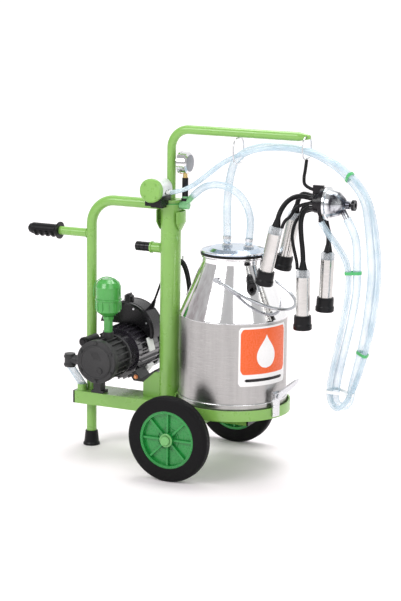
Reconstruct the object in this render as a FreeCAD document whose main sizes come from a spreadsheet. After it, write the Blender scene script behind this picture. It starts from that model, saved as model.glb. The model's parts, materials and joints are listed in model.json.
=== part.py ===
import FreeCAD, Part
import math
import os
import re
import Sketcher

# Portable milking machine, millimetres.
# Origin: centre of the rubber foot's sole, on the floor.
# +X runs along the trolley towards the milk can, +Y away from the pump's cover, +Z up.

os.makedirs("parts", exist_ok=True)
doc = FreeCAD.newDocument("milking_machine")
Vector = FreeCAD.Vector
Rotation = FreeCAD.Rotation
UPRIGHT = Rotation()
ALONG_X = Rotation(Vector(0, 1, 0), 90)
AGAINST_X = Rotation(Vector(0, 1, 0), -90)
ALONG_Y = Rotation(Vector(1, 0, 0), -90)

SIZES = {
    # spine rail: rectangular tube lying flat
    "rail_width": 100, "rail_height": 40, "rail_wall": 3, "rail_rear": -34, "rail_front": 560,
    "rail_top": 183, "end_cap": 6, "port_x": -17, "port_y": -32, "port_radius": 15, "port_height": 21,
    # rear post, top tube, leg and rubber foot
    "post_radius": 16, "post_wall": 2.5, "top_tube_height": 792, "post_bend": 80,
    "foot_radius": 26.5, "foot_height": 47, "foot_sole": 8,
    # column, collar, arm
    "column_x": 275, "column_radius": 31.5, "column_wall": 3, "column_top": 805, "cap_thick": 6,
    "collar_low": 716, "collar_radius": 46, "collar_top": 776,
    "arm_radius": 13.5, "arm_wall": 2.5, "arm_height": 1026, "arm_bend": 58, "arm_reach": 690,
    "tip_length": 36, "tip_radius": 6, "hook_x": 497, "wire_radius": 2.2,
    # motor bracket at the column's foot
    "gusset_x": 186, "gusset_rise": 79, "gusset_thick": 10,
    # can cradle
    "can_x": 490, "ring_radius": 178, "ring_thick": 5, "ring_height": 32, "bar_width": 40, "bar_thick": 6,
    # axle and wheels
    "axle_x": 395, "axle_radius": 13, "stub_radius": 8, "shoulder_y": 222, "axle_half": 275,
    "wheel_radius": 130, "wheel_width": 38, "wheel_y": 245.5, "rim_radius": 88, "hub_radius": 21,
    "running_gap": 0.05, "nut_radius": 14, "washer_radius": 15,
    # handle
    "handle_height": 683, "handle_end": -226, "handle_flange": -112, "grip_radius": 24, "spigot_radius": 9,
    # vacuum regulator
    "regulator_height": 657, "regulator_end": 208, "regulator_radius": 15.5, "valve_radius": 8,
    "knob_radius": 14.5, "knob_end": 156,
    # gauge and tee
    "gauge_x": 322, "gauge_height": 925, "gauge_radius": 33, "gauge_depth": 32, "tee_height": 795,
    # pulsator
    "pulsator_x": 256, "pulsator_height": 847, "pulsator_radius": 30, "cover_radius": 36,
    "pulsator_front": -108, "pulsator_back": -15,
    # vacuum pump and motor on one shaft
    "machine_x": 82, "machine_height": 303, "pump_front": -125, "pump_radius": 68, "pump_core": 58,
    "pump_back": -16, "chamber_radius": 45, "chamber_offset": 6, "rotor_radius": 38, "shaft_radius": 10,
    "motor_front": 18, "motor_back": 168, "motor_core": 78, "motor_bore": 70, "fin_radius": 86,
    "fan_cover_back": 222, "fan_cover_radius": 84,
    # filter bowl
    "filter_x": 83, "filter_y": -45, "filter_foot": 385, "bowl_low": 437, "bowl_radius": 41, "bowl_top": 555,
    # drum-shaped terminal box with switch
    "box_x": 77, "box_height": 360, "box_radius": 96, "box_front": 85, "box_back": 165, "box_wall": 4,
    "switch_x": 77, "switch_y": 108, "switch_radius": 16,
    # milk can
    "can_foot": 189, "can_radius": 164.5, "can_shoulder": 478, "can_neck": 640, "can_mouth": 660,
    "neck_radius": 98, "sheet": 1.5, "lid_radius": 102, "nipple_radius": 9, "nipple_top": 694,
    "milk_nipple_x": 465, "air_nipple_x": 536,
    "bail_height": 600, "bail_half": 130, "bail_leg": 80, "bail_radius": 5, "bail_droop": 25,
    # latch on the cradle ring
    "latch_turn": -20, "latch_height": 252, "latch_reach": 92,
    # claw
    "claw_x": 784, "claw_height": 835, "claw_radius": 50, "plunger_radius": 5,
    # teat cups
    "mouth_height": 43, "shell_height": 115, "cap_height": 22, "cone_height": 25,
    "mouth_radius": 28, "shell_radius": 20.5, "barrel_radius": 13, "teat_radius": 11,
    # hoses and lead, outer radii
    "milk_hose_radius": 12, "pulse_hose_radius": 6.5, "air_hose_radius": 11, "lead_radius": 3.5,
    "short_milk_radius": 7.5, "short_pulse_radius": 5,
    # coil of the lead behind the column
    "coil_y": 66, "coil_height": 465, "coil_half_width": 38, "coil_half_height": 147, "coil_radius": 9,
}
dims = doc.addObject("Spreadsheet::Sheet", "Dims")
for row, (alias, number) in enumerate(SIZES.items(), 1):
    dims.set(f"A{row}", alias)
    dims.set(f"B{row}", str(number))
    dims.setAlias(f"B{row}", alias)
doc.recompute()

SUB_PARTS = []


# ---- helpers -------------------------------------------------------------------------------

def size(alias):
    return float(getattr(dims, alias))


def bound(text):
    return re.sub(r"[a-z][a-z_]+", lambda found: f"Dims.{found.group()}" if found.group() in SIZES
                  else found.group(), text)


def bind(thing, where, text):
    thing.setExpression(where, bound(text))


def place(thing, at, turn=UPRIGHT):
    thing.Placement = FreeCAD.Placement(Vector(), turn)
    for axis, text in zip("xyz", at):
        if text != "0":
            bind(thing, f"Placement.Base.{axis}", text)
    return thing


def sub_part(label, thing):
    thing.Label = label
    SUB_PARTS.append(thing)
    return thing


def origin_plane(body, role):
    return next(item for item in body.Origin.OriginFeatures if item.Role == role)


def sketch_on(body, role):
    sketch = body.newObject("Sketcher::SketchObject", "Sketch")
    sketch.AttachmentSupport = (origin_plane(body, role), [""])
    sketch.MapMode = "FlatFace"
    return sketch


def fix_point(sketch, line, end, x, y, near=(10.0, 10.0)):
    """Hold a line's end at two expressions of the sheet; near is where the solver starts."""
    for kind, text, axis, start in (("DistanceX", x, -2, near[0]), ("DistanceY", y, -1, near[1])):
        if text == "0":
            sketch.addConstraint(Sketcher.Constraint("PointOnObject", line, end, axis))
        else:
            index = sketch.addConstraint(Sketcher.Constraint(kind, -1, 1, line, end, start))
            bind(sketch, f"Constraints[{index}]", text)


def outline(sketch, points):
    """Closed polygon whose corners are expressions of the sheet."""
    first = sketch.GeometryCount
    count = len(points)
    ring = [Vector(100 * math.cos(2 * math.pi * i / count), 100 * math.sin(2 * math.pi * i / count), 0)
            for i in range(count)]
    for i in range(count):
        sketch.addGeometry(Part.LineSegment(ring[i], ring[(i + 1) % count]))
    for i in range(count):
        sketch.addConstraint(Sketcher.Constraint("Coincident", first + i, 2, first + (i + 1) % count, 1))
    for i, (x, y) in enumerate(points):
        fix_point(sketch, first + i, 1, x, y)


def rectangle(sketch, left, right, low, high):
    outline(sketch, [(left, low), (right, low), (right, high), (left, high)])


def circle(sketch, radius):
    index = sketch.addGeometry(Part.Circle(Vector(), Vector(0, 0, 1), 10))
    sketch.addConstraint(Sketcher.Constraint("Coincident", index, 3, -1, 1))
    number = sketch.addConstraint(Sketcher.Constraint("Radius", index, 10.0))
    bind(sketch, f"Constraints[{number}]", radius)


def new_body(name):
    return doc.addObject("PartDesign::Body", name)


def revolved(points, at=("0", "0", "0"), turn=UPRIGHT):
    """Body turned about its own Z from an outline of (radius, height) corners."""
    body = new_body("Turned")
    sketch = sketch_on(body, "XZ_Plane")
    outline(sketch, points)
    turning = body.newObject("PartDesign::Revolution", "Revolution")
    turning.Profile = sketch
    turning.ReferenceAxis = (sketch, ["V_Axis"])
    turning.Angle = 360
    return place(body, at, turn)


def padded(sketch_role, draw, length, at=("0", "0", "0"), turn=UPRIGHT):
    """Body padded from the sketch that draw makes on one of its origin planes."""
    body = new_body("Padded")
    sketch = sketch_on(body, sketch_role)
    draw(sketch)
    pad = body.newObject("PartDesign::Pad", "Pad")
    pad.Profile = sketch
    bind(pad, "Length", length)
    return place(body, at, turn)


def rounded(body, radius, choose):
    """Fillet the edges of a body's tip that choose picks."""
    doc.recompute()
    tip = body.Tip
    names = [f"Edge{i}" for i, edge in enumerate(tip.Shape.Edges, 1) if choose(edge)]
    fillet = body.newObject("PartDesign::Fillet", "Fillet")
    fillet.Base = (tip, names)
    bind(fillet, "Radius", radius)
    return body


def ring_of(body, count, draw, length):
    """Pad what draw makes on the body's XY plane and repeat it round the body's Z."""
    sketch = sketch_on(body, "XY_Plane")
    draw(sketch)
    pad = body.newObject("PartDesign::Pad", "Rib")
    pad.Profile = sketch
    bind(pad, "Length", length)
    pattern = body.newObject("PartDesign::PolarPattern", "Ribs")
    pattern.Originals = [pad]
    pattern.Axis = (sketch, ["N_Axis"])
    pattern.Angle = 360
    pattern.Occurrences = count
    body.Tip = pattern
    return sketch


def rod(radius, length, at, turn=UPRIGHT):
    thing = doc.addObject("Part::Cylinder", "Rod")
    bind(thing, "Radius", radius)
    bind(thing, "Height", length)
    return place(thing, at, turn)


def block(length, width, height, at, turn=UPRIGHT):
    thing = doc.addObject("Part::Box", "Block")
    for name, text in (("Length", length), ("Width", width), ("Height", height)):
        bind(thing, name, text)
    return place(thing, at, turn)


def prism(radius, height, at, turn=UPRIGHT):
    thing = doc.addObject("Part::Prism", "Prism")
    thing.Polygon = 6
    bind(thing, "Circumradius", radius)
    bind(thing, "Height", height)
    return place(thing, at, turn)


def joined(*things):
    fusion = doc.addObject("Part::MultiFuse", "Joined")
    fusion.Shapes = list(things)
    return fusion


def cut(base, *tools):
    result = base
    for tool in tools:
        step = doc.addObject("Part::Cut", "Cut")
        step.Base = result
        step.Tool = tool
        result = step
    return result


def grouped(*things):
    group = doc.addObject("Part::Compound", "Group")
    group.Links = list(things)
    return group


def shaped(name, shape, at=Vector(), turn=UPRIGHT):
    thing = doc.addObject("Part::Feature", name)
    thing.Shape = shape
    thing.Placement = FreeCAD.Placement(at, turn)
    return thing


def bent_tube(foot, reach, top, bend, outer, wall, at):
    """Tube that rises from height foot, bends and runs reach along X at height top."""
    body = new_body("BentTube")
    path = sketch_on(body, "XZ_Plane")
    path.addGeometry(Part.LineSegment(Vector(0, 100, 0), Vector(0, 500, 0)))
    corner = Part.Circle(Vector(100, 500, 0), Vector(0, 0, 1), 100)
    path.addGeometry(Part.ArcOfCircle(corner, math.pi / 2, math.pi))
    path.addGeometry(Part.LineSegment(Vector(100, 600, 0), Vector(300, 600, 0)))
    fix_point(path, 0, 1, "0", foot, (0.0, 100.0))
    fix_point(path, 0, 2, "0", f"{top} - {bend}", (0.0, 500.0))
    path.addConstraint(Sketcher.Constraint("Coincident", 0, 2, 1, 2))
    fix_point(path, 2, 1, bend, top, (100.0, 600.0))
    path.addConstraint(Sketcher.Constraint("Coincident", 1, 1, 2, 1))
    centre = path.addConstraint(Sketcher.Constraint("DistanceX", -1, 1, 1, 3, 100.0))
    bind(path, f"Constraints[{centre}]", bend)
    fix_point(path, 2, 2, reach, top, (300.0, 600.0))
    profile = sketch_on(body, "XY_Plane")
    bind(profile, "AttachmentOffset.Base.z", foot)
    circle(profile, outer)
    circle(profile, f"{outer} - {wall}")
    pipe = body.newObject("PartDesign::AdditivePipe", "Pipe")
    pipe.Profile = profile
    pipe.Spine = path
    return place(body, at)


def hose_wire(points):
    """Straight runs joined by tangent arcs, each as large as its two runs allow."""
    points = [Vector(*point) for point in points]
    edges = []
    radii = []
    start = points[0]
    for before, here, after in zip(points, points[1:], points[2:]):
        into = (here - before).normalize()
        out = (after - here).normalize()
        half_turn = into.getAngle(out) / 2
        reach = 0.45 * min((here - before).Length, (after - here).Length)
        radii.append(reach / math.tan(half_turn))
        arc_start = here - into * reach
        arc_end = here + out * reach
        inward = (out - into).normalize()
        middle = here + inward * (radii[-1] / math.cos(half_turn) - radii[-1])
        edges.append(Part.LineSegment(start, arc_start).toShape())
        edges.append(Part.Arc(arc_start, middle, arc_end).toShape())
        start = arc_end
    edges.append(Part.LineSegment(start, points[-1]).toShape())
    return Part.Wire(edges), radii


def swept(wire, radius):
    first = wire.Edges[0]
    direction = first.tangentAt(first.FirstParameter)
    start = wire.Vertexes[0].Point
    section = Part.Wire(Part.makeCircle(radius, start, direction))
    return Part.Wire(wire.Edges).makePipeShell([section], True, False)


def hose_shape(name, points, radius):
    wire, radii = hose_wire(points)
    shape = swept(wire, radius)
    expected = math.pi * radius ** 2 * wire.Length
    print(f"{name}: length {wire.Length:.0f}, smallest radius {min(radii):.0f}, "
          f"volume ratio {shape.Volume / expected:.3f}")
    return shape


def loop_wire(half_width, half_height, corner):
    """Closed rounded rectangle round the origin, in the YZ plane."""
    corners = [(-half_width, -half_height), (half_width, -half_height),
               (half_width, half_height), (-half_width, half_height)]
    corners = [Vector(0, y, z) for y, z in corners]
    edges = []
    for i, here in enumerate(corners):
        into = (here - corners[i - 1]).normalize()
        out = (corners[(i + 1) % 4] - here).normalize()
        arc_start = here - into * corner
        arc_end = here + out * corner
        middle = here + (out - into) * corner * (1 - math.sqrt(0.5))
        edges.append(Part.Arc(arc_start, middle, arc_end).toShape())
        following = corners[(i + 1) % 4] - out * corner
        if (following - arc_end).Length > 0.01:
            edges.append(Part.LineSegment(arc_end, following).toShape())
    return Part.Wire(edges)


# ---- frame ---------------------------------------------------------------------------------

RAIL_UNDER = "(rail_top - rail_height)"


def spine_rail():
    def section(sketch):
        half = "rail_width / 2"
        rectangle(sketch, f"-{half}", half, RAIL_UNDER, "rail_top")
        rectangle(sketch, f"-({half} - rail_wall)", f"{half} - rail_wall", f"{RAIL_UNDER} + rail_wall",
                  "rail_top - rail_wall")
    tube = padded("YZ_Plane", section, "rail_front - rail_rear", ("rail_rear", "0", "0"))
    port = rod("port_radius", "port_height", ("port_x", "port_y", "rail_top"))
    sub_part("spine_rail", joined(tube, port))


def rail_end_caps():
    caps = []
    inset = "(rail_wall + 0.2)"
    for flange_x, plug_x in (("rail_rear - end_cap", "rail_rear"), ("rail_front", "rail_front - 14")):
        flange = block("end_cap", "rail_width", "rail_height", (flange_x, "-rail_width / 2", RAIL_UNDER))
        plug = block("14", f"rail_width - 2 * {inset}", f"rail_height - 2 * {inset}",
                     (plug_x, f"-rail_width / 2 + {inset}", f"{RAIL_UNDER} + {inset}"))
        caps.append(joined(flange, plug))
    sub_part("rail_end_caps", grouped(*caps))


def rear_post_tube():
    tube = bent_tube("rail_top", "column_x", "top_tube_height", "post_bend", "post_radius", "post_wall",
                     ("0", "0", "0"))
    mouth = rod("column_radius + 0.02", "200", ("column_x", "0", "top_tube_height - 100"))
    cap_room = rod("column_radius + 2.02", "50", ("column_x", "0", "column_top - 0.02"))
    sub_part("rear_post_tube", cut(tube, mouth, cap_room))


def leg_tube():
    inner = "post_radius - post_wall"
    sub_part("leg_tube", revolved([(inner, "foot_sole"), ("post_radius", "foot_sole"),
                                   ("post_radius", RAIL_UNDER), (inner, RAIL_UNDER)]))


def foot_boot():
    sub_part("foot_boot", revolved([("0", "0"), ("foot_radius", "0"), ("foot_radius", "5"),
                                    ("foot_radius - 3", "10"), ("post_radius + 4", "foot_height - 3"),
                                    ("post_radius + 3", "foot_height"), ("post_radius", "foot_height"),
                                    ("post_radius", "foot_sole"), ("0", "foot_sole")]))


def column_tube():
    inner = "column_radius - column_wall"
    top = "column_top + cap_thick"
    body = revolved([(inner, "rail_top"), ("column_radius", "rail_top"), ("column_radius", "column_top"),
                     ("column_radius + 2", "column_top"), ("column_radius + 2", top), ("0", top),
                     ("0", "column_top"), (inner, "column_top")], ("column_x", "0", "0"))
    sub_part("column_tube", body)


def column_collar():
    inner = "column_radius + 0.02"
    body = revolved([(inner, "collar_low"), ("column_radius + 2", "collar_low"),
                     ("collar_radius", "collar_low + 26"), ("collar_radius", "collar_top"),
                     ("collar_radius - 3", "collar_top"), ("collar_radius - 3", "collar_low + 27"),
                     (inner, "collar_low + 5")], ("column_x", "0", "0"))
    front = block("2 * column_radius + 3", "60", "80",
                  ("column_x - column_radius - 1.5", "-64", "collar_low - 5"))
    sub_part("column_collar", cut(body, front))


def motor_gusset():
    def side(sketch):
        outline(sketch, [("gusset_x", "rail_top"), ("column_x - column_radius", "rail_top"),
                         ("column_x - column_radius", "rail_top + gusset_rise"),
                         ("column_x - column_radius - 18", "rail_top + gusset_rise"),
                         ("gusset_x", "rail_top + gusset_rise * 0.55")])
    sub_part("motor_gusset", padded("XZ_Plane", side, "gusset_thick", ("0", "gusset_thick / 2", "0")))


def arm_tube():
    tube = bent_tube("column_top + cap_thick", "arm_reach - column_x", "arm_height", "arm_bend",
                     "arm_radius", "arm_wall", ("column_x", "0", "0"))
    tip = doc.addObject("Part::Cone", "Tip")
    bind(tip, "Radius1", "arm_radius")
    bind(tip, "Radius2", "tip_radius")
    bind(tip, "Height", "tip_length")
    place(tip, ("arm_reach", "0", "arm_height"), ALONG_X)
    eye = rod("wire_radius + 1", "60", ("arm_reach + tip_length - 10", "-30", "arm_height"), ALONG_Y)
    sub_part("arm_tube", cut(joined(tube, tip), eye))


def wire_hooks():
    wire = size("wire_radius")
    arm = size("arm_height")
    under_arm = arm - size("arm_radius") - wire
    hose_loop = swept(loop_wire(38, 38, 26), wire)
    hose_loop.translate(Vector(size("hook_x"), 0, under_arm - 38))
    end_loop = swept(loop_wire(34, 32, 24), wire)
    end_loop.translate(Vector(size("arm_reach") + size("tip_length") - 10, 0, arm - 32))
    column = size("column_x")
    height = size("coil_height") + size("coil_half_height") - size("coil_radius") - 4
    route = [(column, size("column_radius"), height), (column, 84, height), (column, 88, height + 22)]
    lead_hook = hose_shape("lead hook", route, 3)
    sub_part("wire_hooks", shaped("Hooks", Part.makeCompound([hose_loop, end_loop, lead_hook])))


def can_cradle():
    low = "rail_top"
    inner = "ring_radius - ring_thick"
    ring = revolved([(inner, low), ("ring_radius", low), ("ring_radius", f"{low} + ring_height"),
                     (inner, f"{low} + ring_height")], ("can_x", "0", "0"))
    reach = f"({inner} + 1)"
    along = block(f"2 * {reach}", "bar_width", "bar_thick", (f"can_x - {reach}", "-bar_width / 2", low))
    across = block("bar_width", f"2 * {reach}", "bar_thick", ("can_x - bar_width / 2", f"-{reach}", low))
    sub_part("can_cradle", joined(ring, along, across))


# ---- running gear --------------------------------------------------------------------------

def axle():
    sub_part("axle", revolved([("0", "-axle_half"), ("stub_radius", "-axle_half"),
                               ("stub_radius", "-shoulder_y"), ("axle_radius", "-shoulder_y"),
                               ("axle_radius", "shoulder_y"), ("stub_radius", "shoulder_y"),
                               ("stub_radius", "axle_half"), ("0", "axle_half")],
                              ("axle_x", "0", "wheel_radius"), ALONG_Y))


def axle_nuts():
    pieces = []
    for washer_y, nut_y in (("-shoulder_y - 4", "-axle_half + 1"), ("shoulder_y", "axle_half - 9")):
        hole = rod("stub_radius", "600", ("axle_x", "-300", "wheel_radius"), ALONG_Y)
        washer = rod("washer_radius", "4", ("axle_x", washer_y, "wheel_radius"), ALONG_Y)
        pieces.append(cut(washer, hole))
        nut = prism("nut_radius", "8", ("axle_x", nut_y, "wheel_radius"), ALONG_Y)
        pieces.append(cut(nut, rod("stub_radius", "600", ("axle_x", "-300", "wheel_radius"), ALONG_Y)))
    sub_part("axle_nuts", grouped(*pieces))


def wheel_rim(side, y):
    half = "wheel_width / 2"
    bore = "stub_radius + running_gap"
    body = revolved([(bore, f"-{half}"), ("hub_radius", f"-{half}"), ("hub_radius", "-4"),
                     ("rim_radius - 8", "-4"), ("rim_radius - 8", f"-{half} + 2"),
                     ("rim_radius", f"-{half} + 2"), ("rim_radius", f"{half} - 2"),
                     ("rim_radius - 8", f"{half} - 2"), ("rim_radius - 8", "4"), ("hub_radius", "4"),
                     ("hub_radius", half), (bore, half)], ("axle_x", y, "wheel_radius"), ALONG_Y)

    def rib(sketch):
        rectangle(sketch, "hub_radius - 1", "rim_radius - 7", "-3", "3")
    sketch = ring_of(body, 8, rib, "wheel_width - 12")
    bind(sketch, "AttachmentOffset.Base.z", "-wheel_width / 2 + 6")
    sub_part(f"wheel_rim_{side}", body)


def wheel_tyre(side, y):
    half = "wheel_width / 2"
    body = revolved([("rim_radius", f"-{half}"), ("wheel_radius", f"-{half}"), ("wheel_radius", half),
                     ("rim_radius", half)], ("axle_x", y, "wheel_radius"), ALONG_Y)
    outer = size("wheel_radius")
    rounded(body, "wheel_width * 0.3", lambda edge: abs(edge.BoundBox.XLength - 2 * outer) < 1
            and edge.BoundBox.ZLength < 1)
    sub_part(f"wheel_tyre_{side}", body)


# ---- handle and controls -------------------------------------------------------------------

def handle_stub():
    out = "(-handle_flange)"
    body = revolved([("0", "0"), ("post_radius - 2.5", "0"), ("post_radius - 2.5", out),
                     ("spigot_radius", out), ("spigot_radius", "-handle_end - 20"),
                     ("0", "-handle_end - 20")],
                    ("0", "0", "handle_height"), AGAINST_X)
    seat = rod("post_radius + 0.02", "100", ("0", "0", "handle_height - 50"))
    sub_part("handle_stub", cut(body, seat))


def handle_grip():
    """Rubber grip pushed on the stub's spigot: smooth on top, four finger ridges underneath."""
    start = "(-handle_flange)"
    end = "(-handle_end)"
    at = ("0", "0", "handle_height")
    core = revolved([("spigot_radius + 0.02", start), ("grip_radius + 3", start),
                     ("grip_radius + 3", f"{start} + 5"), ("grip_radius - 5", f"{start} + 10"),
                     ("grip_radius - 6", f"{start} + 14"), ("grip_radius - 6", f"{end} - 16"),
                     ("grip_radius - 10", f"{end} - 5"), ("grip_radius - 16", end), ("0", end),
                     ("0", f"{end} - 18"), ("spigot_radius + 0.02", f"{end} - 18")], at, AGAINST_X)
    points = [("spigot_radius + 3", f"{start} + 94"), ("spigot_radius + 3", f"{start} + 14")]
    for ridge in range(4):
        foot = f"{start} + {16 + 20 * ridge}"
        points += [("grip_radius - 7", foot), ("grip_radius - 1", f"{foot} + 6"),
                   ("grip_radius - 1", f"{foot} + 10"), ("grip_radius - 7", f"{foot} + 16")]
    ridges = revolved(points, at, AGAINST_X)
    above = block("200", "100", "60", ("handle_end - 10", "-50", "handle_height - 5"))
    sub_part("handle_grip", joined(core, cut(ridges, above)))


def regulator_body():
    reach = "(column_x - regulator_end)"
    body = revolved([("0", "0"), ("regulator_radius", "0"), ("regulator_radius", f"{reach} - 5"),
                     ("regulator_radius + 2.5", f"{reach} - 5"), ("regulator_radius + 2.5", reach),
                     ("valve_radius", reach), ("valve_radius", f"{reach} - 26"), ("0", f"{reach} - 26")],
                    ("column_x", "0", "regulator_height"), AGAINST_X)
    seat = rod("column_radius + 0.02", "100", ("column_x", "0", "regulator_height - 50"))
    sub_part("regulator_body", cut(body, seat))


def regulator_knob():
    stem = "valve_radius - running_gap"
    length = "(regulator_end - knob_end)"
    points = [("0", "-22"), (stem, "-22"), (stem, "0.5"), ("knob_radius - 1", "0.5"),
              ("knob_radius", "2"), ("knob_radius", "14"), ("knob_radius - 2", "15"),
              ("knob_radius - 2", "18"), ("knob_radius", "19"), ("knob_radius", "31"),
              ("knob_radius - 2", "32"), ("knob_radius - 2", "35"), ("knob_radius", "36"),
              ("knob_radius", f"{length} - 3"), ("knob_radius - 4", length), ("0", length)]
    sub_part("regulator_knob", revolved(points, ("regulator_end", "0", "regulator_height"), AGAINST_X))


def vacuum_tee():
    spigot = rod("12", "60", ("column_x", "0", "tee_height"), ALONG_X)
    boss = rod("9.5", "28", ("gauge_x", "0", "tee_height"))
    slope = Rotation(Vector(0, 1, 0), 45)
    nipple = rod("9", "38", ("gauge_x", "0", "tee_height + 4"), slope)
    body = joined(spigot, boss, nipple)
    column = rod("column_radius + 2.02", "100", ("column_x", "0", "tee_height - 50"))
    sub_part("vacuum_tee", cut(body, column))


def gauge_case():
    depth = "gauge_depth"
    case = revolved([("0", "0"), ("gauge_radius - 6", "0"), ("gauge_radius", "5"),
                     ("gauge_radius", f"{depth} - 7"), ("gauge_radius + 1.5", f"{depth} - 7"),
                     ("gauge_radius + 1.5", depth), ("gauge_radius - 2", depth),
                     ("gauge_radius - 2", "21.5"), ("1.55", "21.5"), ("1.55", "16"), ("0", "16")],
                    ("gauge_x + gauge_depth / 2", "0", "gauge_height"), AGAINST_X)
    fitting = rod("7", "14", ("gauge_x", "0", "gauge_height - gauge_radius - 12"))
    stem = rod("9.5", "gauge_height - gauge_radius - 12 - tee_height - 28",
               ("gauge_x", "0", "tee_height + 28"))
    sub_part("gauge_case", joined(case, fitting, stem))


def gauge_pointer():
    face = "gauge_x + gauge_depth / 2 - 21.5"
    shaft = rod("1.5", "9", (f"{face} - 4", "0", "gauge_height"), ALONG_X)
    hub = rod("4", "1.2", (f"{face} - 4", "0", "gauge_height"), ALONG_X)
    needle = block("1.2", "2.4", "32", (f"{face} - 4", "-1.2", "gauge_height - 8"))
    sub_part("gauge_pointer", joined(shaft, hub, needle))


# ---- pulsator ------------------------------------------------------------------------------

def pulsator_body():
    length = "pulsator_back - pulsator_front - 18"
    body = rod("pulsator_radius", length, ("pulsator_x", "pulsator_front + 18", "pulsator_height"), ALONG_Y)
    outlets = [rod("5", "18", ("pulsator_x + pulsator_radius - 4", y, "pulsator_height - 8"), ALONG_X)
               for y in ("-40", "-55")]
    sub_part("pulsator_body", joined(body, *outlets))


def pulsator_cover():
    body = revolved([("0", "0"), ("cover_radius - 4", "0"), ("cover_radius", "4"), ("cover_radius", "18"),
                     ("0", "18")], ("pulsator_x", "pulsator_front", "pulsator_height"), ALONG_Y)
    sub_part("pulsator_cover", body)


def pulsator_bracket():
    """Clamp on the column's top, with a saddle under the pulsator's barrel."""
    base = block("40", "34", "44", ("pulsator_x - 20", "-62", "pulsator_height - 57"))
    saddle = block("52", "70", "28", ("pulsator_x - 26", "-88", "pulsator_height - 49"))
    low = "(pulsator_height - 80)"
    column = rod("column_radius + 2.02", f"column_top + cap_thick + 0.02 - {low}", ("column_x", "0", low))
    barrel = rod("pulsator_radius + 0.02", "200", ("pulsator_x", "-150", "pulsator_height"), ALONG_Y)
    sub_part("pulsator_bracket", cut(joined(base, saddle), column, barrel))


# ---- vacuum pump and motor -----------------------------------------------------------------

def on_shaft(y):
    return ("machine_x", y, "machine_height")


def pump_body():
    length = "(pump_back - pump_front - 16)"
    body = revolved([("0", "0"), ("pump_radius", "0"), ("pump_radius", "8"), ("pump_core", "8"),
                     ("pump_core", f"{length} - 8"), ("pump_radius", f"{length} - 8"),
                     ("pump_radius", length), ("0", length)], on_shaft("pump_front + 16"), ALONG_Y)

    def rib(sketch):
        rectangle(sketch, "pump_core - 1", "pump_radius - 2", "-2", "2")
    sketch = ring_of(body, 20, rib, f"{length} - 14")
    bind(sketch, "AttachmentOffset.Base.z", "7")
    top_boss = rod("17", "filter_foot - machine_height - 40",
                   ("filter_x", "filter_y", "machine_height + 40"))
    side_boss = rod("15", "98", ("machine_x - 98", "-80", "machine_height - 11"), ALONG_X)
    oil_plug = rod("13", "70", ("machine_x - 51", "-100", "machine_height + 56"), ALONG_Y)
    whole = joined(body, top_boss, side_boss, oil_plug)
    chamber = rod("chamber_radius", f"{length} - 6", ("machine_x + chamber_offset", "pump_front + 16",
                                                      "machine_height"), ALONG_Y)
    bore = rod("shaft_radius + running_gap", "60", on_shaft("pump_back - 30"), ALONG_Y)
    sub_part("pump_body", cut(whole, chamber, bore))


def pump_cover():
    body = revolved([("0", "-3"), ("pump_radius - 16", "-3"), ("pump_radius - 13", "0"),
                     ("pump_radius - 3", "0"), ("pump_radius", "3"), ("pump_radius", "16"),
                     ("shaft_radius + running_gap", "16"), ("shaft_radius + running_gap", "8"), ("0", "8")],
                    on_shaft("pump_front"), ALONG_Y)
    sub_part("pump_cover", body)


def pump_rotor():
    length = "(pump_back - pump_front - 26)"
    start = "pump_front + 18"
    core = rod("rotor_radius", length, on_shaft(start), ALONG_Y)
    core = cut(core, rod("shaft_radius", "400", on_shaft("-200"), ALONG_Y))
    vanes = []
    for quarter in range(4):
        turn = Rotation(Vector(0, 1, 0), 90 * quarter)
        slot = block("24", length, "5", ("0", start, "0"))
        vane = block("18.2", length, "4.9", ("0", start, "0"))
        for piece, inset in ((slot, 20), (vane, 20.3)):
            offset = turn.multVec(Vector(inset, 0, -2.5 if piece is slot else -2.45))
            place(piece, (f"machine_x + {offset.x:.3f}", start, f"machine_height + {offset.z:.3f}"), turn)
        core = cut(core, slot)
        vanes.append(vane)
    sub_part("pump_rotor", grouped(core, *vanes))


def pump_elbow():
    drop = rod("17", "42", ("machine_x - 116", "-80", "machine_height - 35"))
    sleeve = rod("15", "18", ("machine_x - 116", "-80", "machine_height - 11"), ALONG_X)
    sub_part("pump_elbow", joined(drop, sleeve))


def outlet_hose():
    """Clear hose from the pump's elbow down to the port on the rail."""
    top = Vector(size("machine_x") - 114, -78, size("machine_height") - 35)
    foot = Vector(size("port_x"), size("port_y"), size("rail_top") + size("port_height"))
    along = (foot - top).normalize()
    tube = Part.makeCylinder(12, (foot - top).Length + 30, top - along * 15, along)
    level = Part.makeBox(200, 200, top.z - foot.z, Vector(top.x - 100, top.y - 100, foot.z))
    sub_part("outlet_hose", shaped("OutletHose", tube.common(level)))


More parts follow.
